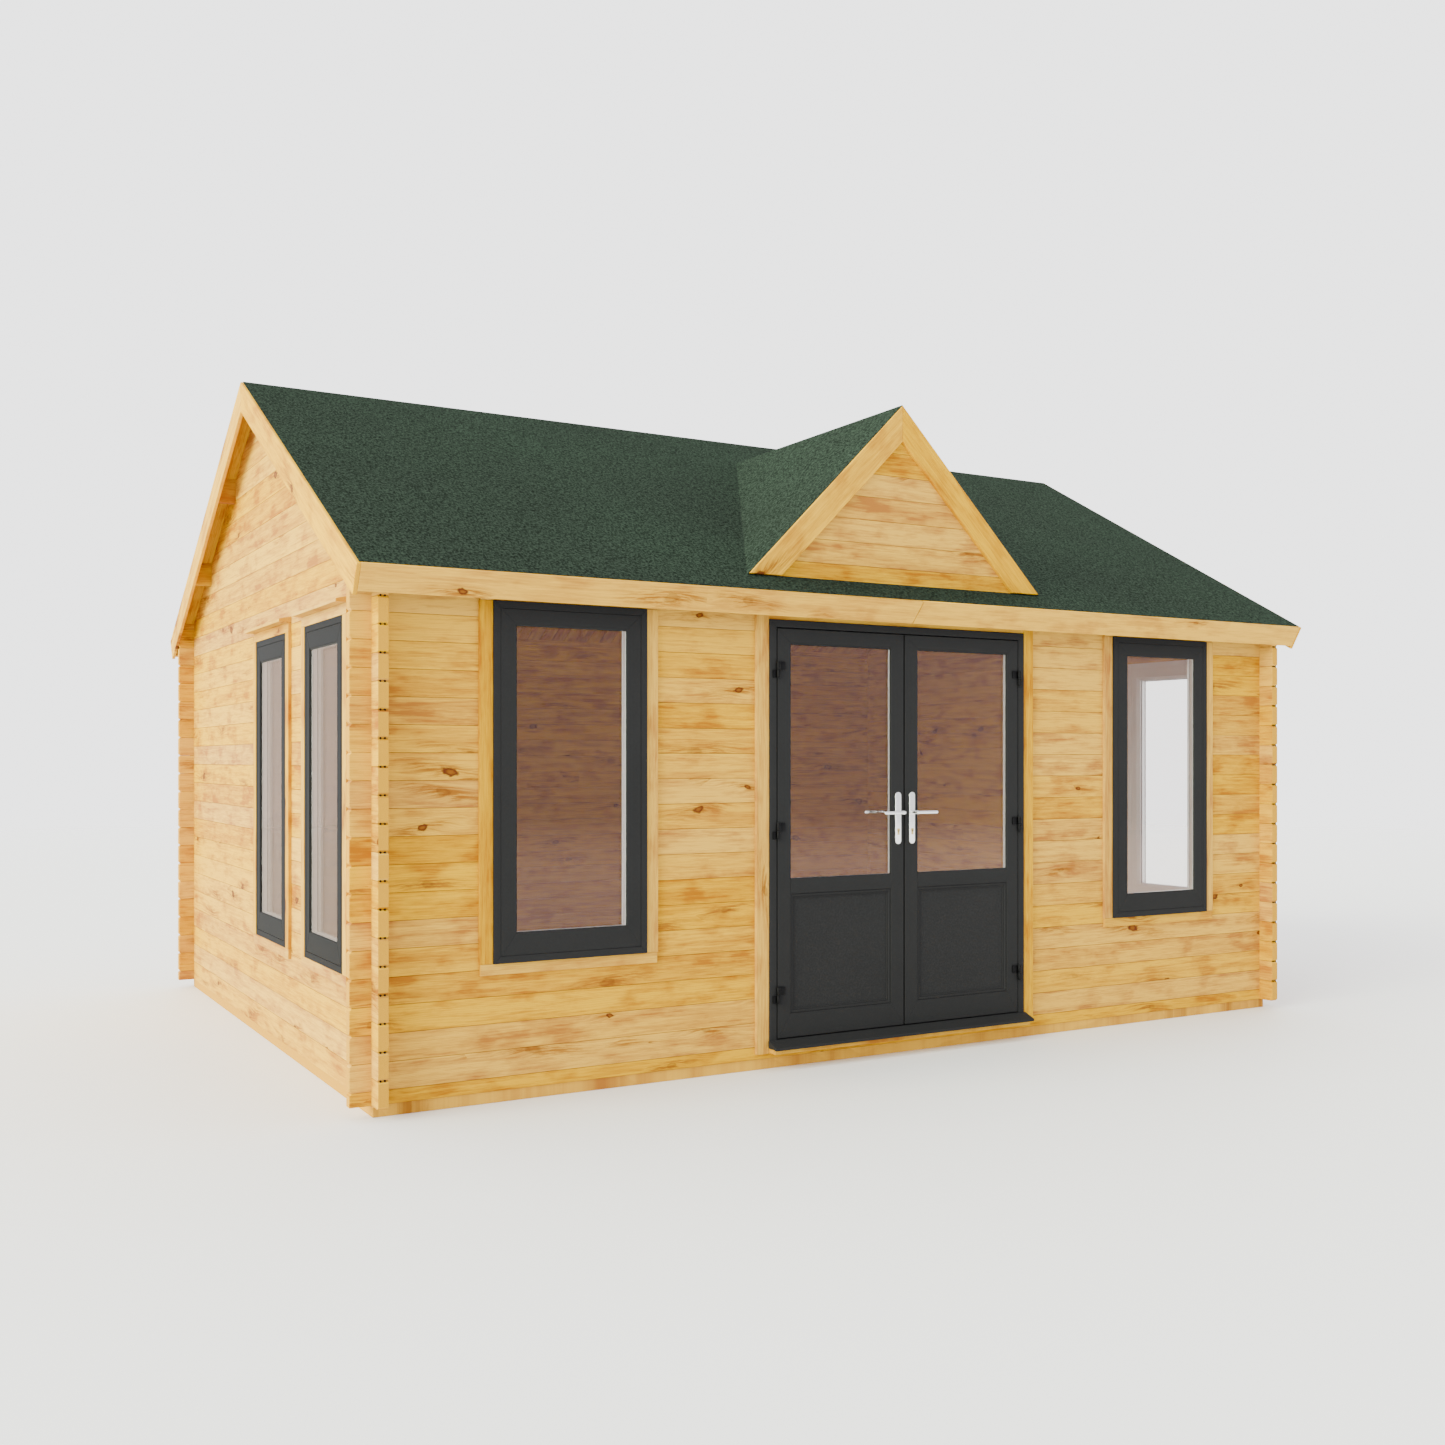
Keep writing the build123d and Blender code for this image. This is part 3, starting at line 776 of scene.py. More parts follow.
def shaped_log(low, high, axis, square_foot=False):
    """A log with chamfered joints and cut-back end corners."""
    sizes = bpy.context.scene.log_cabin.sizes
    deep = 1 - axis
    piece = block(low, high)
    at_end = (low[axis], high[axis])

    def corner_edge(a, b):
        level = min((low[2], high[2]), key=lambda z: abs(z - a.z))
        return parallel(deep)(a, b) and any(abs(a[axis] - e) < 1e-5 for e in at_end) and not (
            square_foot and level == low[2])

    bevel_edges(piece, corner_edge, sizes.end_chamfer)
    bevel_edges(piece, lambda a, b: parallel(axis)(a, b) and abs(a.z - b.z) < 1e-6
                and min(abs(a[deep] - low[deep]), abs(a[deep] - high[deep])) < 1e-6
                and min(abs(a.z - low[2]), abs(a.z - high[2])) < 1e-6, sizes.joint_chamfer, 2)
    return soften(piece, sizes.edge_softness, angle=50)


def wall_corners(axis, faces, span, low, high):
    """Two corners of a block in a wall along an axis: its faces, its span along the wall and its levels."""
    first, second = [faces[0], faces[0], low], [faces[1], faces[1], high]
    first[axis], second[axis] = span
    return first, second


def log_wall(axis, end, faces, first, count, foot=None):
    """Logs on top of each other: a short first one where foot is given, then count whole ones."""
    rise = bpy.context.scene.log_cabin.sizes.log_height
    logs = []
    if foot is not None:
        low, high = wall_corners(axis, faces, (-end, end), foot, first - LOG_GAP)
        logs.append(shaped_log(low, high, axis, square_foot=True))
    low, high = wall_corners(axis, faces, (-end, end), first, first + rise - LOG_GAP)
    logs.append(repeat(shaped_log(low, high, axis), count, (0, 0, rise)))
    return joined(logs)


def tongues(axis, end, faces, first, count):
    """The tongues in a wall's joints, which keep light and draught out."""
    middle = (faces[0] + faces[1]) / 2
    low, high = wall_corners(axis, (middle - 0.005, middle + 0.005), (-end + 0.03, end - 0.03),
                             first - 0.008, first + 0.008)
    return repeat(block(low, high), count, (0, 0, bpy.context.scene.log_cabin.sizes.log_height))


def comb(x, y, first, count, lowest=None):
    """Cutter for one corner: the heights at which the crossing wall's logs pass."""
    sizes = bpy.context.scene.log_cabin.sizes
    quarter = sizes.log_height / 4
    teeth = [repeat(block((x[0], y[0], first - quarter), (x[1], y[1], first + quarter)), count,
                    (0, 0, sizes.log_height))]
    if lowest is not None:
        teeth.append(block((x[0], y[0], lowest - CLEAR), (x[1], y[1], lowest + quarter)))
    return joined(teeth)


def tongue_holes(face, y, first, count, radius=0.0044):
    """Round bars for the two small gaps that the tongues leave at each joint of the log ends."""
    rise = bpy.context.scene.log_cabin.sizes.log_height
    bars = []
    for into in (0.0115, 0.0295):
        bpy.ops.object.select_all(action="DESELECT")
        bpy.ops.mesh.primitive_cylinder_add(vertices=10, radius=radius, depth=0.06,
                                            location=(face + into, y, first - 0.0005),
                                            rotation=(math.pi / 2, 0, 0))
        bake_place()
        bars.append(repeat(bpy.context.object, count, (0, 0, rise)))
    return joined(bars)


def under_roof(piece, y_sides=(-1, 1)):
    """Cut a piece to the underside of the roof boards."""
    peak = RIDGE_TOP - bpy.context.scene.log_cabin.sizes.roof_board / math.cos(SLOPE)
    for side in y_sides:
        saw(piece, (0, 0, peak - 0.0003), (0, side * math.sin(SLOPE), math.cos(SLOPE)))
    return piece


def window_centres(node, axis, facts):
    """Where a wall's two windows stand along it."""
    low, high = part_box(node)
    return [low[axis] + facts["width"] / 2, high[axis] - facts["width"] / 2]


def window_cutters(node, axis, facts, faces):
    """Cutters for the openings of a wall's windows."""
    half = facts["width"] / 2
    through = (faces[0] - CLEAR, faces[1] + CLEAR)
    return [block(*wall_corners(axis, through, (centre - half, centre + half), facts["bottom"], facts["top"]))
            for centre in window_centres(node, axis, facts)]


class CABIN_OT_walls(bpy.types.Operator):
    """Log walls, their crossing corners, and the gables"""
    bl_idname = "cabin.walls"
    bl_label = "Log walls"

    def execute(self, context):
        sizes = context.scene.log_cabin.sizes
        foot = sizes.first_joint
        front_joint, side_joint = foot + sizes.log_height / 2, foot + sizes.log_height
        y = (-HALF_DEPTH, -HALF_DEPTH + sizes.log_thickness)
        x = (-HALF_LENGTH, -HALF_LENGTH + sizes.log_thickness)
        wide_y, wide_x = (y[0] - CLEAR, y[1] + CLEAR), (x[0] - CLEAR, x[1] + CLEAR)

        front = log_wall(0, HALF_LENGTH + LOG_REACH, y, front_joint, FRONT_LOGS, foot)
        under_roof(front, (-1,))
        combs = [comb(x, wide_y, front_joint, FRONT_LOGS + 1)]
        cut(front, joined([*combs, copied(combs[0], MIRROR)]))
        back = copied(front, TURN)
        front_tongues = under_roof(tongues(0, HALF_LENGTH, y, front_joint, FRONT_LOGS), (-1,))
        back_tongues = copied(front_tongues, TURN)
        frame_low, frame_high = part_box("door_frame")
        door = block((-DOOR_HALF, wide_y[0], frame_low.z), (DOOR_HALF, wide_y[1], frame_high.z))
        holes = joined([door, *window_cutters("front_window_frames", 0, FRONT_WINDOW, y)])
        cut(front_tongues, copied(holes, STILL))
        cut(front, holes)

        side = log_wall(1, HALF_DEPTH + LOG_REACH, x, foot, SIDE_LOGS)
        under_roof(side)
        combs = [comb(wide_x, y, side_joint, FRONT_LOGS - 2, foot)]
        cut(side, joined([*combs, copied(combs[0], TURN @ MIRROR)]))
        log_ends = -HALF_DEPTH - LOG_REACH
        holes = [tongue_holes(x[0], log_ends, side_joint, FRONT_LOGS - 1)]
        cut(side, joined([*holes, copied(holes[0], TURN @ MIRROR)]))
        # Painted shade: dark bars set a few millimetres into each tongue hole stand for the shade inside the holes.
        shades = [tongue_holes(x[0], log_ends + 0.0335, side_joint, FRONT_LOGS - 1, 0.0043)]
        shades += [copied(shades[0], TURN @ MIRROR)]
        shades += [copied(shade, MIRROR) for shade in shades]
        finish_piece(joined(shades), "log_end_hole_shade", "gap")
        windows = joined(window_cutters("left_window_frames", 1, SIDE_WINDOW, x))
        side_tongues = under_roof(tongues(1, HALF_DEPTH, x, side_joint, SIDE_LOGS - 1))
        cut(side_tongues, copied(windows, STILL))
        cut(side, windows)
        other, other_tongues = copied(side, MIRROR), copied(side_tongues, MIRROR)

        for piece, name, axis, look, nodes in (
                (front_tongues, "front_tongues", 0, "roof wood", ()),
                (back_tongues, "back_tongues", 0, "roof wood", ()),
                (side_tongues, "left_tongues", 1, "roof wood", ()),
                (other_tongues, "right_tongues", 1, "roof wood", ()),
                (front, "front_logs", 0, "log wood", ["front_wall_left", "front_wall_right", "front_wall_over_door",
                                                      "front_wall_under_door"]),
                (back, "back_logs", 0, "log wood", ["back_wall"]),
                (side, "left_logs", 1, "log wood", ["left_wall", "left_gable"]),
                (other, "right_logs", 1, "log wood", ["right_wall", "right_gable"])):
            lay_grain(piece, name, *WALL_GRAIN[axis])
            finish_piece(piece, name, look, slot="log_wood", nodes=nodes)
        return {"FINISHED"}


class CABIN_OT_roof(bpy.types.Operator):
    """Beams, roof boards, barge boards, eave boards and felt"""
    bl_idname = "cabin.roof"
    bl_label = "Roof"

    def execute(self, context):
        for node in ("ridge_beam", "purlins"):
            wooden_node(node, "roof wood", "roof_wood", BOARD_ROUNDING)
        self.boards(context.scene.log_cabin.sizes.roof_board)
        for node in ("left_barge_boards", "right_barge_boards"):
            both = lay_sloped(from_cad(node, BOARD_ROUNDING), node, SLOPE, (1, 0, 0), 1)
            finish_piece(both, node + "_wood", "edge wood", slot="edge_wood", nodes=[node])
        for node in ("front_eave_boards", "rear_eave_boards"):
            piece = lay_grain(self.scarfed(from_cad(node), node), node, *WALL_GRAIN[0])
            finish_piece(piece, node + "_wood", "edge wood", slot="edge_wood", nodes=[node])
        for node in ("roof_felt", "dormer_felt"):
            sheet = frame["nodes"][node]
            sheet.data.materials.clear()
            sheet.data.materials.append(finish("felt"))
        return {"FINISHED"}

    def boards(self, thick):
        """The narrow boards that run down both slopes."""
        low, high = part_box("roof_boards_front")
        run = -low.y / math.cos(SLOPE)
        width = (high.x - low.x) / ROOF_BOARDS
        front = block((low.x, -run + thick * math.tan(SLOPE), -thick), (low.x + width - 0.0005, 0.03, 0))
        bevel_edges(front, lambda a, b: parallel(1)(a, b) and a.z < -0.01, 0.003)
        repeat(front, ROOF_BOARDS, (width, 0, 0))
        turned(front, Matrix.Translation((0, 0, RIDGE_TOP)) @ Matrix.Rotation(SLOPE, 4, "X"))
        saw(front, (0, -0.0005, 0), (0, 1, 0))
        saw(front, (0, low.y, 0), (0, -1, 0))
        slope_run = Vector((0, -math.cos(SLOPE), -math.sin(SLOPE)))
        slope_deep = Vector((0, -math.sin(SLOPE), math.cos(SLOPE)))
        for piece, way, name in ((front, 1, "roof_boards_front"), (copied(front, TURN), -1, "roof_boards_rear")):
            flip = Matrix.Diagonal((1, way, 1))
            lay_grain(piece, name, flip @ slope_run, flip @ slope_deep)
            finish_piece(piece, name + "_wood", "roof wood", slot="roof_wood", nodes=[name])

    def scarfed(self, board, node):
        """Open the slanted joint in the middle of an eave board, and round its edges."""
        low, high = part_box(node)
        middle = (low.z + high.z) / 2
        slit = block((-0.0015, low.y - CLEAR, low.z - 0.02), (0.0015, high.y + CLEAR, high.z + 0.02))
        lean = Matrix.Rotation(math.radians(13), 4, "Y")
        turned(slit, Matrix.Translation((0, 0, middle)) @ lean @ Matrix.Translation((0, 0, -middle)))
        return soften(cut(board, slit), 0.0025)


class CABIN_OT_dormer(bpy.types.Operator):
    """Dormer gable, its boards and barge boards"""
    bl_idname = "cabin.dormer"
    bl_label = "Dormer"

    def execute(self, context):
        sizes = context.scene.log_cabin.sizes
        low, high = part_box("dormer_front")
        first = sizes.first_joint + sizes.log_height / 2 + sizes.log_height * (FRONT_LOGS - 1)
        logs = log_wall(0, high.x + 0.02, (-HALF_DEPTH, -HALF_DEPTH + sizes.log_thickness), first, DORMER_LOGS)
        for side in (-1, 1):
            saw(logs, (0, 0, high.z), (side, 0, 1))
        saw(logs, (0, 0, RIDGE_TOP + 0.0003), (0, math.sin(SLOPE), -math.cos(SLOPE)))
        lay_grain(logs, "dormer", *WALL_GRAIN[0])
        finish_piece(logs, "dormer_logs", "log wood", slot="log_wood", nodes=["dormer_front"])
        for node in ("dormer_boards_left", "dormer_boards_right"):
            wooden_node(node, "roof wood", "roof_wood", 0.001, (0, 1, 0), (1, 0, 1))
        node = "dormer_barge_boards"
        barge = lay_sloped(from_cad(node, BOARD_ROUNDING), "dormer_barge", math.radians(45), (0, 1, 0), 0)
        finish_piece(barge, "dormer_barge_wood", "edge wood", slot="edge_wood", nodes=[node])
        return {"FINISHED"}


# Windows and doors

def member(low, high, axis, rounding, saws):
    """One side of a frame along an axis, its front edges rounded and its ends mitred."""
    piece = block(low, high)
    if rounding:
        bevel_edges(piece, lambda a, b: parallel(axis)(a, b) and abs(a.y - low[1]) < 1e-6, rounding, 3)
    for point, normal in saws:
        saw(piece, point, normal)
    return piece


def ring(outer, inner, y, rounding=0.0, softness=0.0007, slope=None):
    """Mitred frame between an outer and an inner rectangle (x0, x1, z0, z1) and two depths.

    Behind the depth slope the inner edge falls back at 45 degrees.
    """
    corners = [((outer[i], outer[j]), (inner[i], inner[j])) for i, j in ((0, 2), (1, 2), (1, 3), (0, 3))]
    planes = []
    for (ox, oz), (ix, iz) in corners:
        run = Vector((ix - ox, 0, iz - oz))
        planes.append(((ox, 0, oz), run.cross(Vector((0, 1, 0)))))
    sides = []
    for number, (axis, low, high) in enumerate((
            (0, (outer[0], y[0], outer[2]), (outer[1], y[1], inner[2])),
            (2, (inner[1], y[0], outer[2]), (outer[1], y[1], outer[3])),
            (0, (outer[0], y[0], inner[3]), (outer[1], y[1], outer[3])),
            (2, (outer[0], y[0], outer[2]), (inner[0], y[1], outer[3])))):
        middle = (Vector(low) + Vector(high)) / 2
        saws = []
        for point, normal in (planes[number], planes[(number + 1) % 4]):
            away = normal if (middle - Vector(point)).dot(normal) < 0 else -normal
            saws.append((point, away))
        if slope is not None:
            inward = (Vector((0, 0, 1)), Vector((-1, 0, 0)), Vector((0, 0, -1)), Vector((1, 0, 0)))[number]
            edge = (inner[0] if number == 3 else inner[1], slope, inner[2] if number == 0 else inner[3])
            saws.append((edge, inward + Vector((0, 1, 0))))
        sides.append(member(low, high, axis, rounding, saws))
    made = joined(sides)
    if softness:
        soften(made, softness, angle=40)
    return made


def shrink(box, *amounts):
    """A rectangle with its sides moved in: one amount, or left, right, low and high."""
    left, right, low, high = amounts if len(amounts) == 4 else amounts * 4
    return box[0] + left, box[1] - right, box[2] + low, box[3] - high


def glazing(light, face, back):
    """Two panes, the spacer between them and the seals, for an opening and the panes' outer faces."""
    thick = bpy.context.scene.log_cabin.sizes.pane
    hidden = shrink(light, -0.009)
    panes = [soften(block((hidden[0], y, hidden[2]), (hidden[1], y + thick, hidden[3])), 0.0004)
             for y in (face, back - thick)]
    spacer = ring(hidden, shrink(light, 0.002), (face + thick, back - thick))
    # The front seal reaches further in at the top: partly a real gasket, partly painted shade under the top member.
    seals = [ring(shrink(light, -0.006), shrink(light, 0.0022, 0.0022, 0.0022, 0.0065),
                  (face - 0.003, face - 0.0002), softness=0.0006),
             ring(shrink(light, -0.006), shrink(light, -0.0003), (back + 0.0001, back + 0.0004), softness=0.0)]
    return joined(panes), spacer, joined(seals)


def window(facts, face):
    """Parts of a window about X 0 whose wall faces -Y at depth face."""
    front = face - facts["proud"]
    half = facts["width"] / 2
    whole = (-half, half, facts["bottom"], facts["top"])
    light = shrink(whole, facts["sides"], facts["sides"], facts["low"], facts["high"])
    frames = [ring(whole, shrink(whole, 0.030), (front, front + 0.048), 0.0015, 0.0012),
              ring(shrink(whole, 0.0308), light, (front, front + 0.0395), 0.0035, 0.0012)]
    lining = [ring(whole, shrink(whole, 0.036), (front + 0.0485, front + 0.070)),
              ring(shrink(whole, 0.0365), light, (front + 0.0405, front + 0.0685), slope=front + 0.052)]
    panes, spacer, seals = glazing(light, front + 0.007, front + 0.040)
    gap = ring(shrink(whole, 0.028), shrink(whole, 0.034), (front + 0.004, front + 0.030))
    return {"frame": joined(frames), "lining": joined(lining), "panes": panes, "spacer": spacer,
            "seals": joined([seals, gap])}


def window_trim(facts, face, capped):
    """Boards round a window, with a cap over the side windows."""
    half = facts["width"] / 2
    upright, cross, thick, step, gap = 0.060, 0.048, 0.016, 0.004, 0.0004
    top, bottom = facts["top"], facts["bottom"]
    reach = half + upright - step
    boards = []
    for side in (-1, 1):
        x = sorted((side * half, side * (half + upright)))
        boards.append(block((x[0], face - thick, bottom), (x[1], face, top)))
    for low, high in ((bottom - cross, bottom - gap), (top + gap, top + cross)):
        boards.append(block((-reach, face - thick + 0.001, low), (reach, face, high)))
    if capped:
        foot, front = top + cross + gap, face - 0.060
        cap = block((-half - upright, front, foot), (half + upright, face, foot + 0.028))
        boards.append(saw(cap, (0, front, foot + 0.014), (0, -0.014, 0.060)))
    return soften(joined(boards), TRIM_ROUNDING, 2)


class CABIN_OT_windows(bpy.types.Operator):
    """Two front windows and two in each side wall"""
    bl_idname = "cabin.windows"
    bl_label = "Windows"

    def execute(self, context):
        front = [Matrix.Translation((x, 0, 0)) for x in window_centres("front_window_frames", 0, FRONT_WINDOW)]
        quarter = Matrix.Rotation(-math.pi / 2, 4, "Z")
        left = [Matrix.Translation((-HALF_LENGTH, y, 0)) @ quarter @ Matrix.Translation((0, HALF_DEPTH, 0))
                for y in window_centres("left_window_frames", 1, SIDE_WINDOW)]
        walls = {"front": (FRONT_WINDOW, "frame", front), "left": (SIDE_WINDOW, "side frame painted shade", left),
                 "right": (SIDE_WINDOW, "side frame painted shade", [MIRROR @ place for place in left])}
        for wall, (facts, frame_look, places) in walls.items():
            kinds = {"frame": (frame_look, "dark_frame", [wall + "_window_frames"]), "lining": ("lining", None, ()),
                     "panes": ("glass", "pane_glass", [wall + "_window_glass"]), "spacer": ("spacer", None, ()),
                     "seals": ("seal", None, ()), "trim": ("trim wood", "edge_wood", [wall + "_window_trims"])}
            parts = window(facts, -HALF_DEPTH)
            parts["trim"] = window_trim(facts, -HALF_DEPTH, facts is SIDE_WINDOW)
            for kind, piece in parts.items():
                both = joined([copied(piece, place) for place in places])
                name = f"{wall}_window_{kind}"
                if kind == "trim":
                    lay_grain(both, name)
                look, slot, nodes = kinds[kind]
                finish_piece(both, name, look, slot=slot, nodes=nodes)
            delete(*parts.values())
        return {"FINISHED"}


class CABIN_OT_door_frame(bpy.types.Operator):
    """Frame, sill and trim boards of the doors"""
    bl_idname = "cabin.door_frame"
    bl_label = "Door frame"

    def execute(self, context):
        rounding = context.scene.log_cabin.sizes.frame_rounding
        low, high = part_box("door_frame")
        whole = (low.x, high.x, low.z, high.z)
        inside = shrink(whole, 0.038, 0.038, 0.029, 0.035)
        stop = shrink(inside, 0.015)
        front = low.y
        frames = ring(whole, inside, (front, front + 0.048), rounding)
        lining = joined([ring(whole, inside, (front + 0.0484, front + 0.0605)),
                         ring(whole, stop, (front + 0.061, front + 0.070), softness=0.002)])
        seals = ring(shrink(inside, -0.002), shrink(stop, -0.004), (front + 0.0570, front + 0.0610))
        finish_piece(frames, "door_frame_outer", "frame", slot="dark_frame", nodes=["door_frame"])
        finish_piece(lining, "door_frame_lining", "lining")
        finish_piece(seals, "door_frame_seals", "seal")
        sill = from_cad("door_sill", BOARD_ROUNDING)
        finish_piece(sill, "door_sill_metal", "frame", slot="sill_metal", nodes=["door_sill"])

        low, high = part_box("door_trims")
        width, thick, face = 0.068, 0.020, -HALF_DEPTH
        inner = DOOR_HALF - 0.0004
        boards = [block((-DOOR_HALF - width, face - thick, low.z), (-DOOR_HALF, face, high.z)),
                  block((DOOR_HALF, face - thick, low.z), (DOOR_HALF + width, face, high.z)),
                  block((-inner, face - thick + 0.001, high.z - width), (inner, face, high.z)),
                  block((-inner, low.y, 0.077), (inner, face, 0.101))]
        trims = lay_grain(soften(joined(boards), TRIM_ROUNDING, 2), "door_trims")
        finish_piece(trims, "door_trim_boards", "trim wood", slot="edge_wood", nodes=["door_trims"])
        return {"FINISHED"}


def leaf_parts(edge):
    """Parts of the left leaf, from its hinge edge to a meeting edge."""
    rounding = bpy.context.scene.log_cabin.sizes.frame_rounding
    face = FRAME_FACE
    whole = (HINGE_EDGE, edge, LEAF_FOOT, LEAF_HEAD)
    room = shrink(whole, 0.073, 0.078, 0.113, 0.068)
    light = (room[0], room[1], MID_RAIL[1], room[3])
    panel = (room[0], room[1], room[2], MID_RAIL[0])
    outside = [ring(whole, room, (face, face + 0.034), rounding, slope=face + 0.0245),
               member((room[0], face + 0.0003, MID_RAIL[0]), (room[1], face + 0.0337, MID_RAIL[1]), 0, rounding, []),
               ring(panel, shrink(panel, 0.014), (face + 0.0035, face + 0.016), 0.004),
               ring(shrink(panel, 0.0135), shrink(panel, 0.022), (face + 0.008, face + 0.016), 0.002)]
    back = face + 0.0344
    rail = block((room[0] - BEAD, back, MID_RAIL[0] + BEAD), (room[1] + BEAD, face + 0.0557, MID_RAIL[1] - BEAD))
    inside = joined([ring(whole, shrink(room, -BEAD), (back, face + LEAF_THICK)), soften(rail, 0.001),
                     *[ring(shrink(hole, -BEAD + 0.0002), shrink(hole, -0.0104), (back, face + 0.0555),
                            slope=face + 0.0346) for hole in (light, panel)]])
    saw(inside, (edge, face, 0), (LEAF_THICK, 0.004, 0))
    wide, narrow = shrink(panel, -0.004), shrink(panel, -0.003)
    board = block((wide[0], face + 0.0125, wide[2]), (wide[1], face + 0.0335, wide[3]))
    back_board = block((narrow[0], face + 0.0338, narrow[2]), (narrow[1], face + 0.0358, narrow[3]))
    panes, spacer, seals = glazing(light, face + 0.010, face + 0.024)
    edge_seal = ring(shrink(whole, 0.004), shrink(whole, 0.012), (face + 0.0538, face + 0.0566))
    return {"leaf": joined(outside), "lining": joined([inside, back_board]), "panel": board, "panes": panes,
            "spacer": spacer, "seals": joined([seals, edge_seal])}


def hinge_half(level, fixed):
    """Knuckle with its flag and screws: the fixed lower one or the leaf's upper one."""
    x, y = -DOOR_HALF + 0.0405, FRAME_FACE - 0.010
    front = FRAME_FACE - 0.006
    low, high = level
    parts = [soften(rod((x, y, low), (x, y, high), 0.009), 0.0012, 2)]
    reach = -0.026 if fixed else 0.042
    far = x + reach
    span = sorted((x if fixed else x + 0.0005, far))
    flag = block((span[0], front, low), (span[1], FRAME_FACE, high))
    parts.append(flag)
    if not fixed:
        saw(flag, (x + 0.0025, 0, 0), (-1, 0, 0))
        parts.append(block((x, front, low), (x + 0.005, FRAME_FACE - 0.001, high)))
    bevel_edges(flag, lambda a, b: parallel(1)(a, b) and abs(a.x - far) < 1e-5, 0.006, 4)
    bevel_edges(flag, lambda a, b: abs(a.y - front) < 1e-6 and abs(b.y - a.y) < 1e-6, 0.0012, 2)
    for z in (low + 0.010, high - 0.010):
        parts.append(screw((x + reach * 0.62, front, z), 0.0035))
    return smooth(joined(parts))


def screw(place, radius, way=-1):
    """A countersunk screw head with its socket, facing -Y, or +Y where way is 1."""
    x, y, z = place
    head = rod((x, y - way * 0.001, z), (x, y + way * 0.0006, z), radius, 16)
    select_where(head, "FACE", lambda face: face.normal.y * way > 0.9)
    bpy.ops.mesh.inset(thickness=radius * 0.45, depth=0)
    bpy.ops.mesh.inset(thickness=radius * 0.05, depth=-radius * 0.4)
    done()
    return head


def plate_parts(x, face, way):
    """Long plate with screws and a keyed cylinder. way is -1 outside and 1 inside."""
    outer = face + way * 0.008
    y = sorted((face, outer))
    body = block((x - 0.0175, y[0], 1.032), (x + 0.0175, y[1], 1.288))
    bevel_edges(body, parallel(1), 0.0172, 10)
    bevel_edges(body, lambda a, b: abs(a.y - outer) < 1e-6 and abs(b.y - outer) < 1e-6, 0.0022, 3)
    rose = soften(rod((x, outer - way * 0.001, LEVER_LEVEL), (x, outer + way * 0.0025, LEVER_LEVEL), 0.0135, 32),
                  0.001, 2)
    screws = [screw((x, outer, z), 0.0038, way) for z in (1.046, 1.274)]
    barrel = rod((x, outer - way * 0.002, 1.101), (x, outer + way * 0.002, 1.101), 0.0085, 28)
    tail = block((x - 0.005, outer - 0.002, 1.078), (x + 0.005, outer + 0.002, 1.098))
    # The keyway: painted shade, a dark sliver on the cylinder's face that stands for the shaded slot.
    y = sorted((outer, outer + way * 0.0023))
    slit = block((x - 0.0009, y[0], 1.0965), (x + 0.0009, y[1], 1.1055))
    return smooth(joined([body, rose, *screws])), smooth(joined([barrel, tail])), slit


def lever_parts(x, face, way):
    """Lever on its neck, pointing away from the meeting edge."""
    end = face + way * 0.062
    neck = rod((x, face + way * 0.006, LEVER_LEVEL), (x, end - way * 0.006, LEVER_LEVEL), 0.0088, 28)
    y = sorted((end, end - way * 0.012))
    arm = block((x - 0.120, y[0], LEVER_LEVEL - 0.008), (x + 0.009, y[1], LEVER_LEVEL + 0.008))
    bevel_edges(arm, parallel(1), 0.0078, 8)
    bevel_edges(arm, lambda a, b: abs(abs(a.y - sum(y) / 2) - 0.006) < 1e-6 and abs(b.y - a.y) < 1e-6, 0.0035, 3)
    collar = soften(rod((x, end - way * 0.0165, LEVER_LEVEL), (x, end - way * 0.010, LEVER_LEVEL), 0.0098, 28),
                    0.001, 2)
    return [neck, arm, collar]


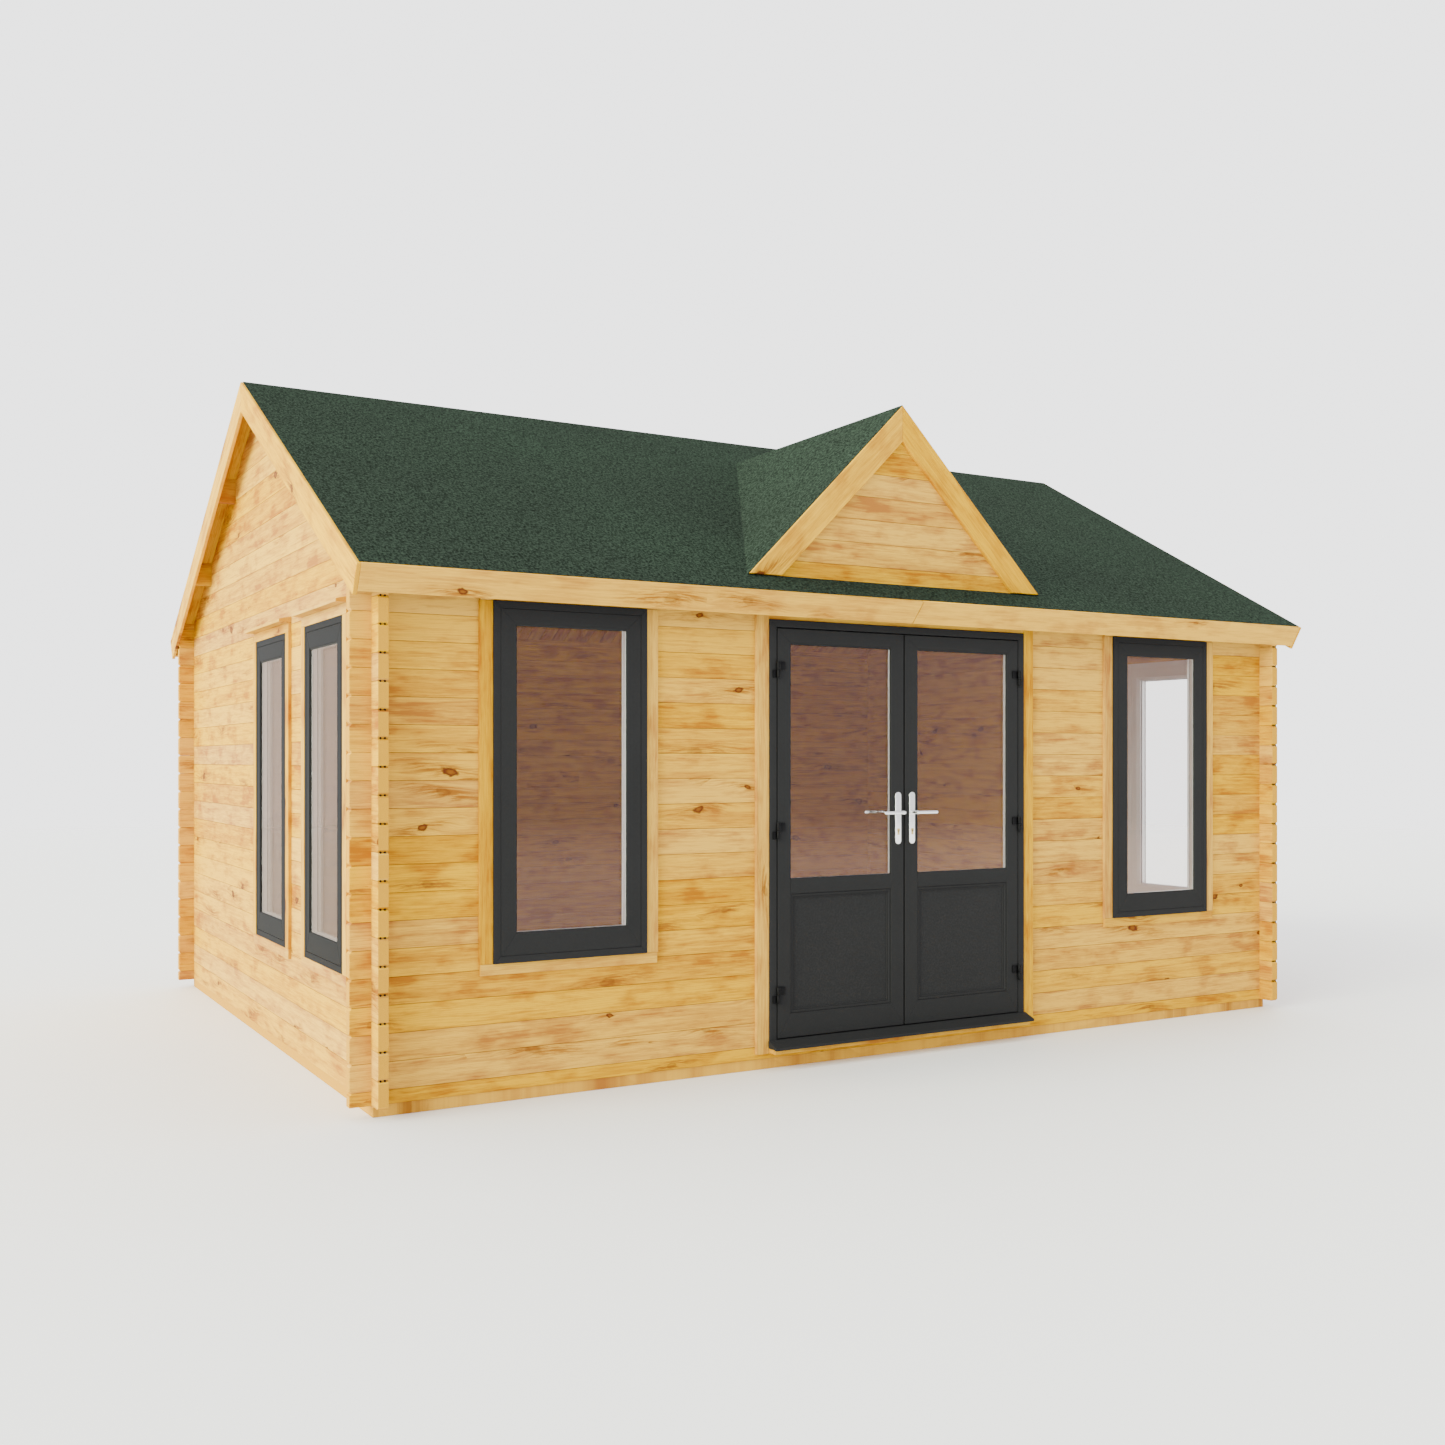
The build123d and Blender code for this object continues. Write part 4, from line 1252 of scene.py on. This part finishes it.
class CABIN_OT_doors(bpy.types.Operator):
    """Two leaves with their panes, hinges, plates and levers"""
    bl_idname = "cabin.doors"
    bl_label = "Doors"

    def execute(self, context):
        for name, edge, place in (("left", -0.001, STILL), ("right", -0.007, MIRROR)):
            door = name + "_door"
            kinds = {"leaf": ("frame", "dark_frame", [door + "_leaf"]), "lining": ("lining", None, ()),
                     "panel": ("panel", "dark_frame", ()), "panes": ("glass", "pane_glass", [door + "_glass"]),
                     "spacer": ("spacer", None, ()), "seals": ("seal", None, ())}
            for kind, piece in leaf_parts(edge).items():
                look, slot, nodes = kinds[kind]
                finish_piece(self.placed(piece, place), f"{door}_{kind}_piece", look, door, slot, nodes)
            x = edge - 0.0385
            bodies, keys, keyway_shades, levers = [], [], [], []
            for face, way in ((FRAME_FACE, -1), (FRAME_FACE + LEAF_THICK, 1)):
                for pieces, piece in zip((bodies, keys, keyway_shades), plate_parts(x, face, way)):
                    pieces.append(piece)
                levers += lever_parts(x, face, way)
            levers.append(rod((x, FRAME_FACE - 0.004, LEVER_LEVEL), (x, FRAME_FACE + 0.060, LEVER_LEVEL), 0.005, 16))
            for pieces, kind, look, body, slot, nodes in (
                    (bodies, "plates_metal", "handle metal", door, "handle_metal", [door + "_plates"]),
                    (keys, "locks", "brass", door, None, ()),
                    (keyway_shades, "keyway_shade", "seal", door, None, ()),
                    ([smooth(joined(levers))], "levers_metal", "handle metal", name + "_handle", "handle_metal",
                     [door + "_lever"])):
                finish_piece(self.placed(joined(pieces), place), f"{door}_{kind}", look, body, slot, nodes)
        self.hinges()
        return {"FINISHED"}

    def placed(self, piece, place):
        """The piece itself where it stays, or else its mirrored copy in its stead."""
        if place == STILL:
            return piece
        twin = copied(piece, place)
        delete(piece)
        return twin

    def hinges(self):
        fixed = joined([hinge_half((level - HINGE_HALF, level - 0.001), True) for level in HINGE_LEVELS])
        turning = joined([hinge_half((level, level + HINGE_HALF), False) for level in HINGE_LEVELS])
        other = copied(turning, MIRROR)
        pins = joined([fixed, copied(fixed, MIRROR)])
        for piece, name, body, node in ((pins, "hinge_pins_metal", "cabin", "door_hinge_pins"),
                                        (turning, "left_hinges_metal", "left_door", "left_door_hinges"),
                                        (other, "right_hinges_metal", "right_door", "right_door_hinges")):
            finish_piece(piece, name, "hinge metal", body, "hinge_metal", [node])


# The add-on

class CabinSettings(bpy.types.PropertyGroup):
    """All settings of the cabin"""
    sizes: bpy.props.PointerProperty(name="Sizes", description="Sizes of the pieces", type=CabinSizes)
    colours: bpy.props.PointerProperty(name="Colours", description="Colours of the finishes", type=CabinColours)
    stage: bpy.props.PointerProperty(name="Studio", description="Floor and light", type=CabinStage)


OPERATORS = (CABIN_OT_stage, CABIN_OT_base, CABIN_OT_walls, CABIN_OT_roof, CABIN_OT_dormer, CABIN_OT_windows,
             CABIN_OT_door_frame, CABIN_OT_doors)


class CABIN_PT_panel(bpy.types.Panel):
    """Lists the cabin's operators and settings"""
    bl_label = "Log Cabin"
    bl_idname = "CABIN_PT_panel"
    bl_space_type = "VIEW_3D"
    bl_region_type = "UI"
    bl_category = "Log Cabin"

    def draw(self, context):
        settings = context.scene.log_cabin
        for operator in OPERATORS:
            self.layout.operator(operator.bl_idname)
        for group in (settings.sizes, settings.colours, settings.stage):
            box = self.layout.box()
            for name in group.bl_rna.properties.keys():
                if name not in ("rna_type", "name"):
                    box.prop(group, name)


CLASSES = (CabinSizes, CabinColours, CabinStage, CabinSettings, *OPERATORS, CABIN_PT_panel)


def register():
    for cls in CLASSES:
        bpy.utils.register_class(cls)
    bpy.types.Scene.log_cabin = bpy.props.PointerProperty(name="Log cabin", description="Settings of the cabin",
                                                          type=CabinSettings)


def unregister():
    del bpy.types.Scene.log_cabin
    for cls in reversed(CLASSES):
        bpy.utils.unregister_class(cls)


def main():
    register()
    for operator in OPERATORS:
        group, name = operator.bl_idname.split(".")
        getattr(getattr(bpy.ops, group), name)()


if __name__ == "__main__":
    main()
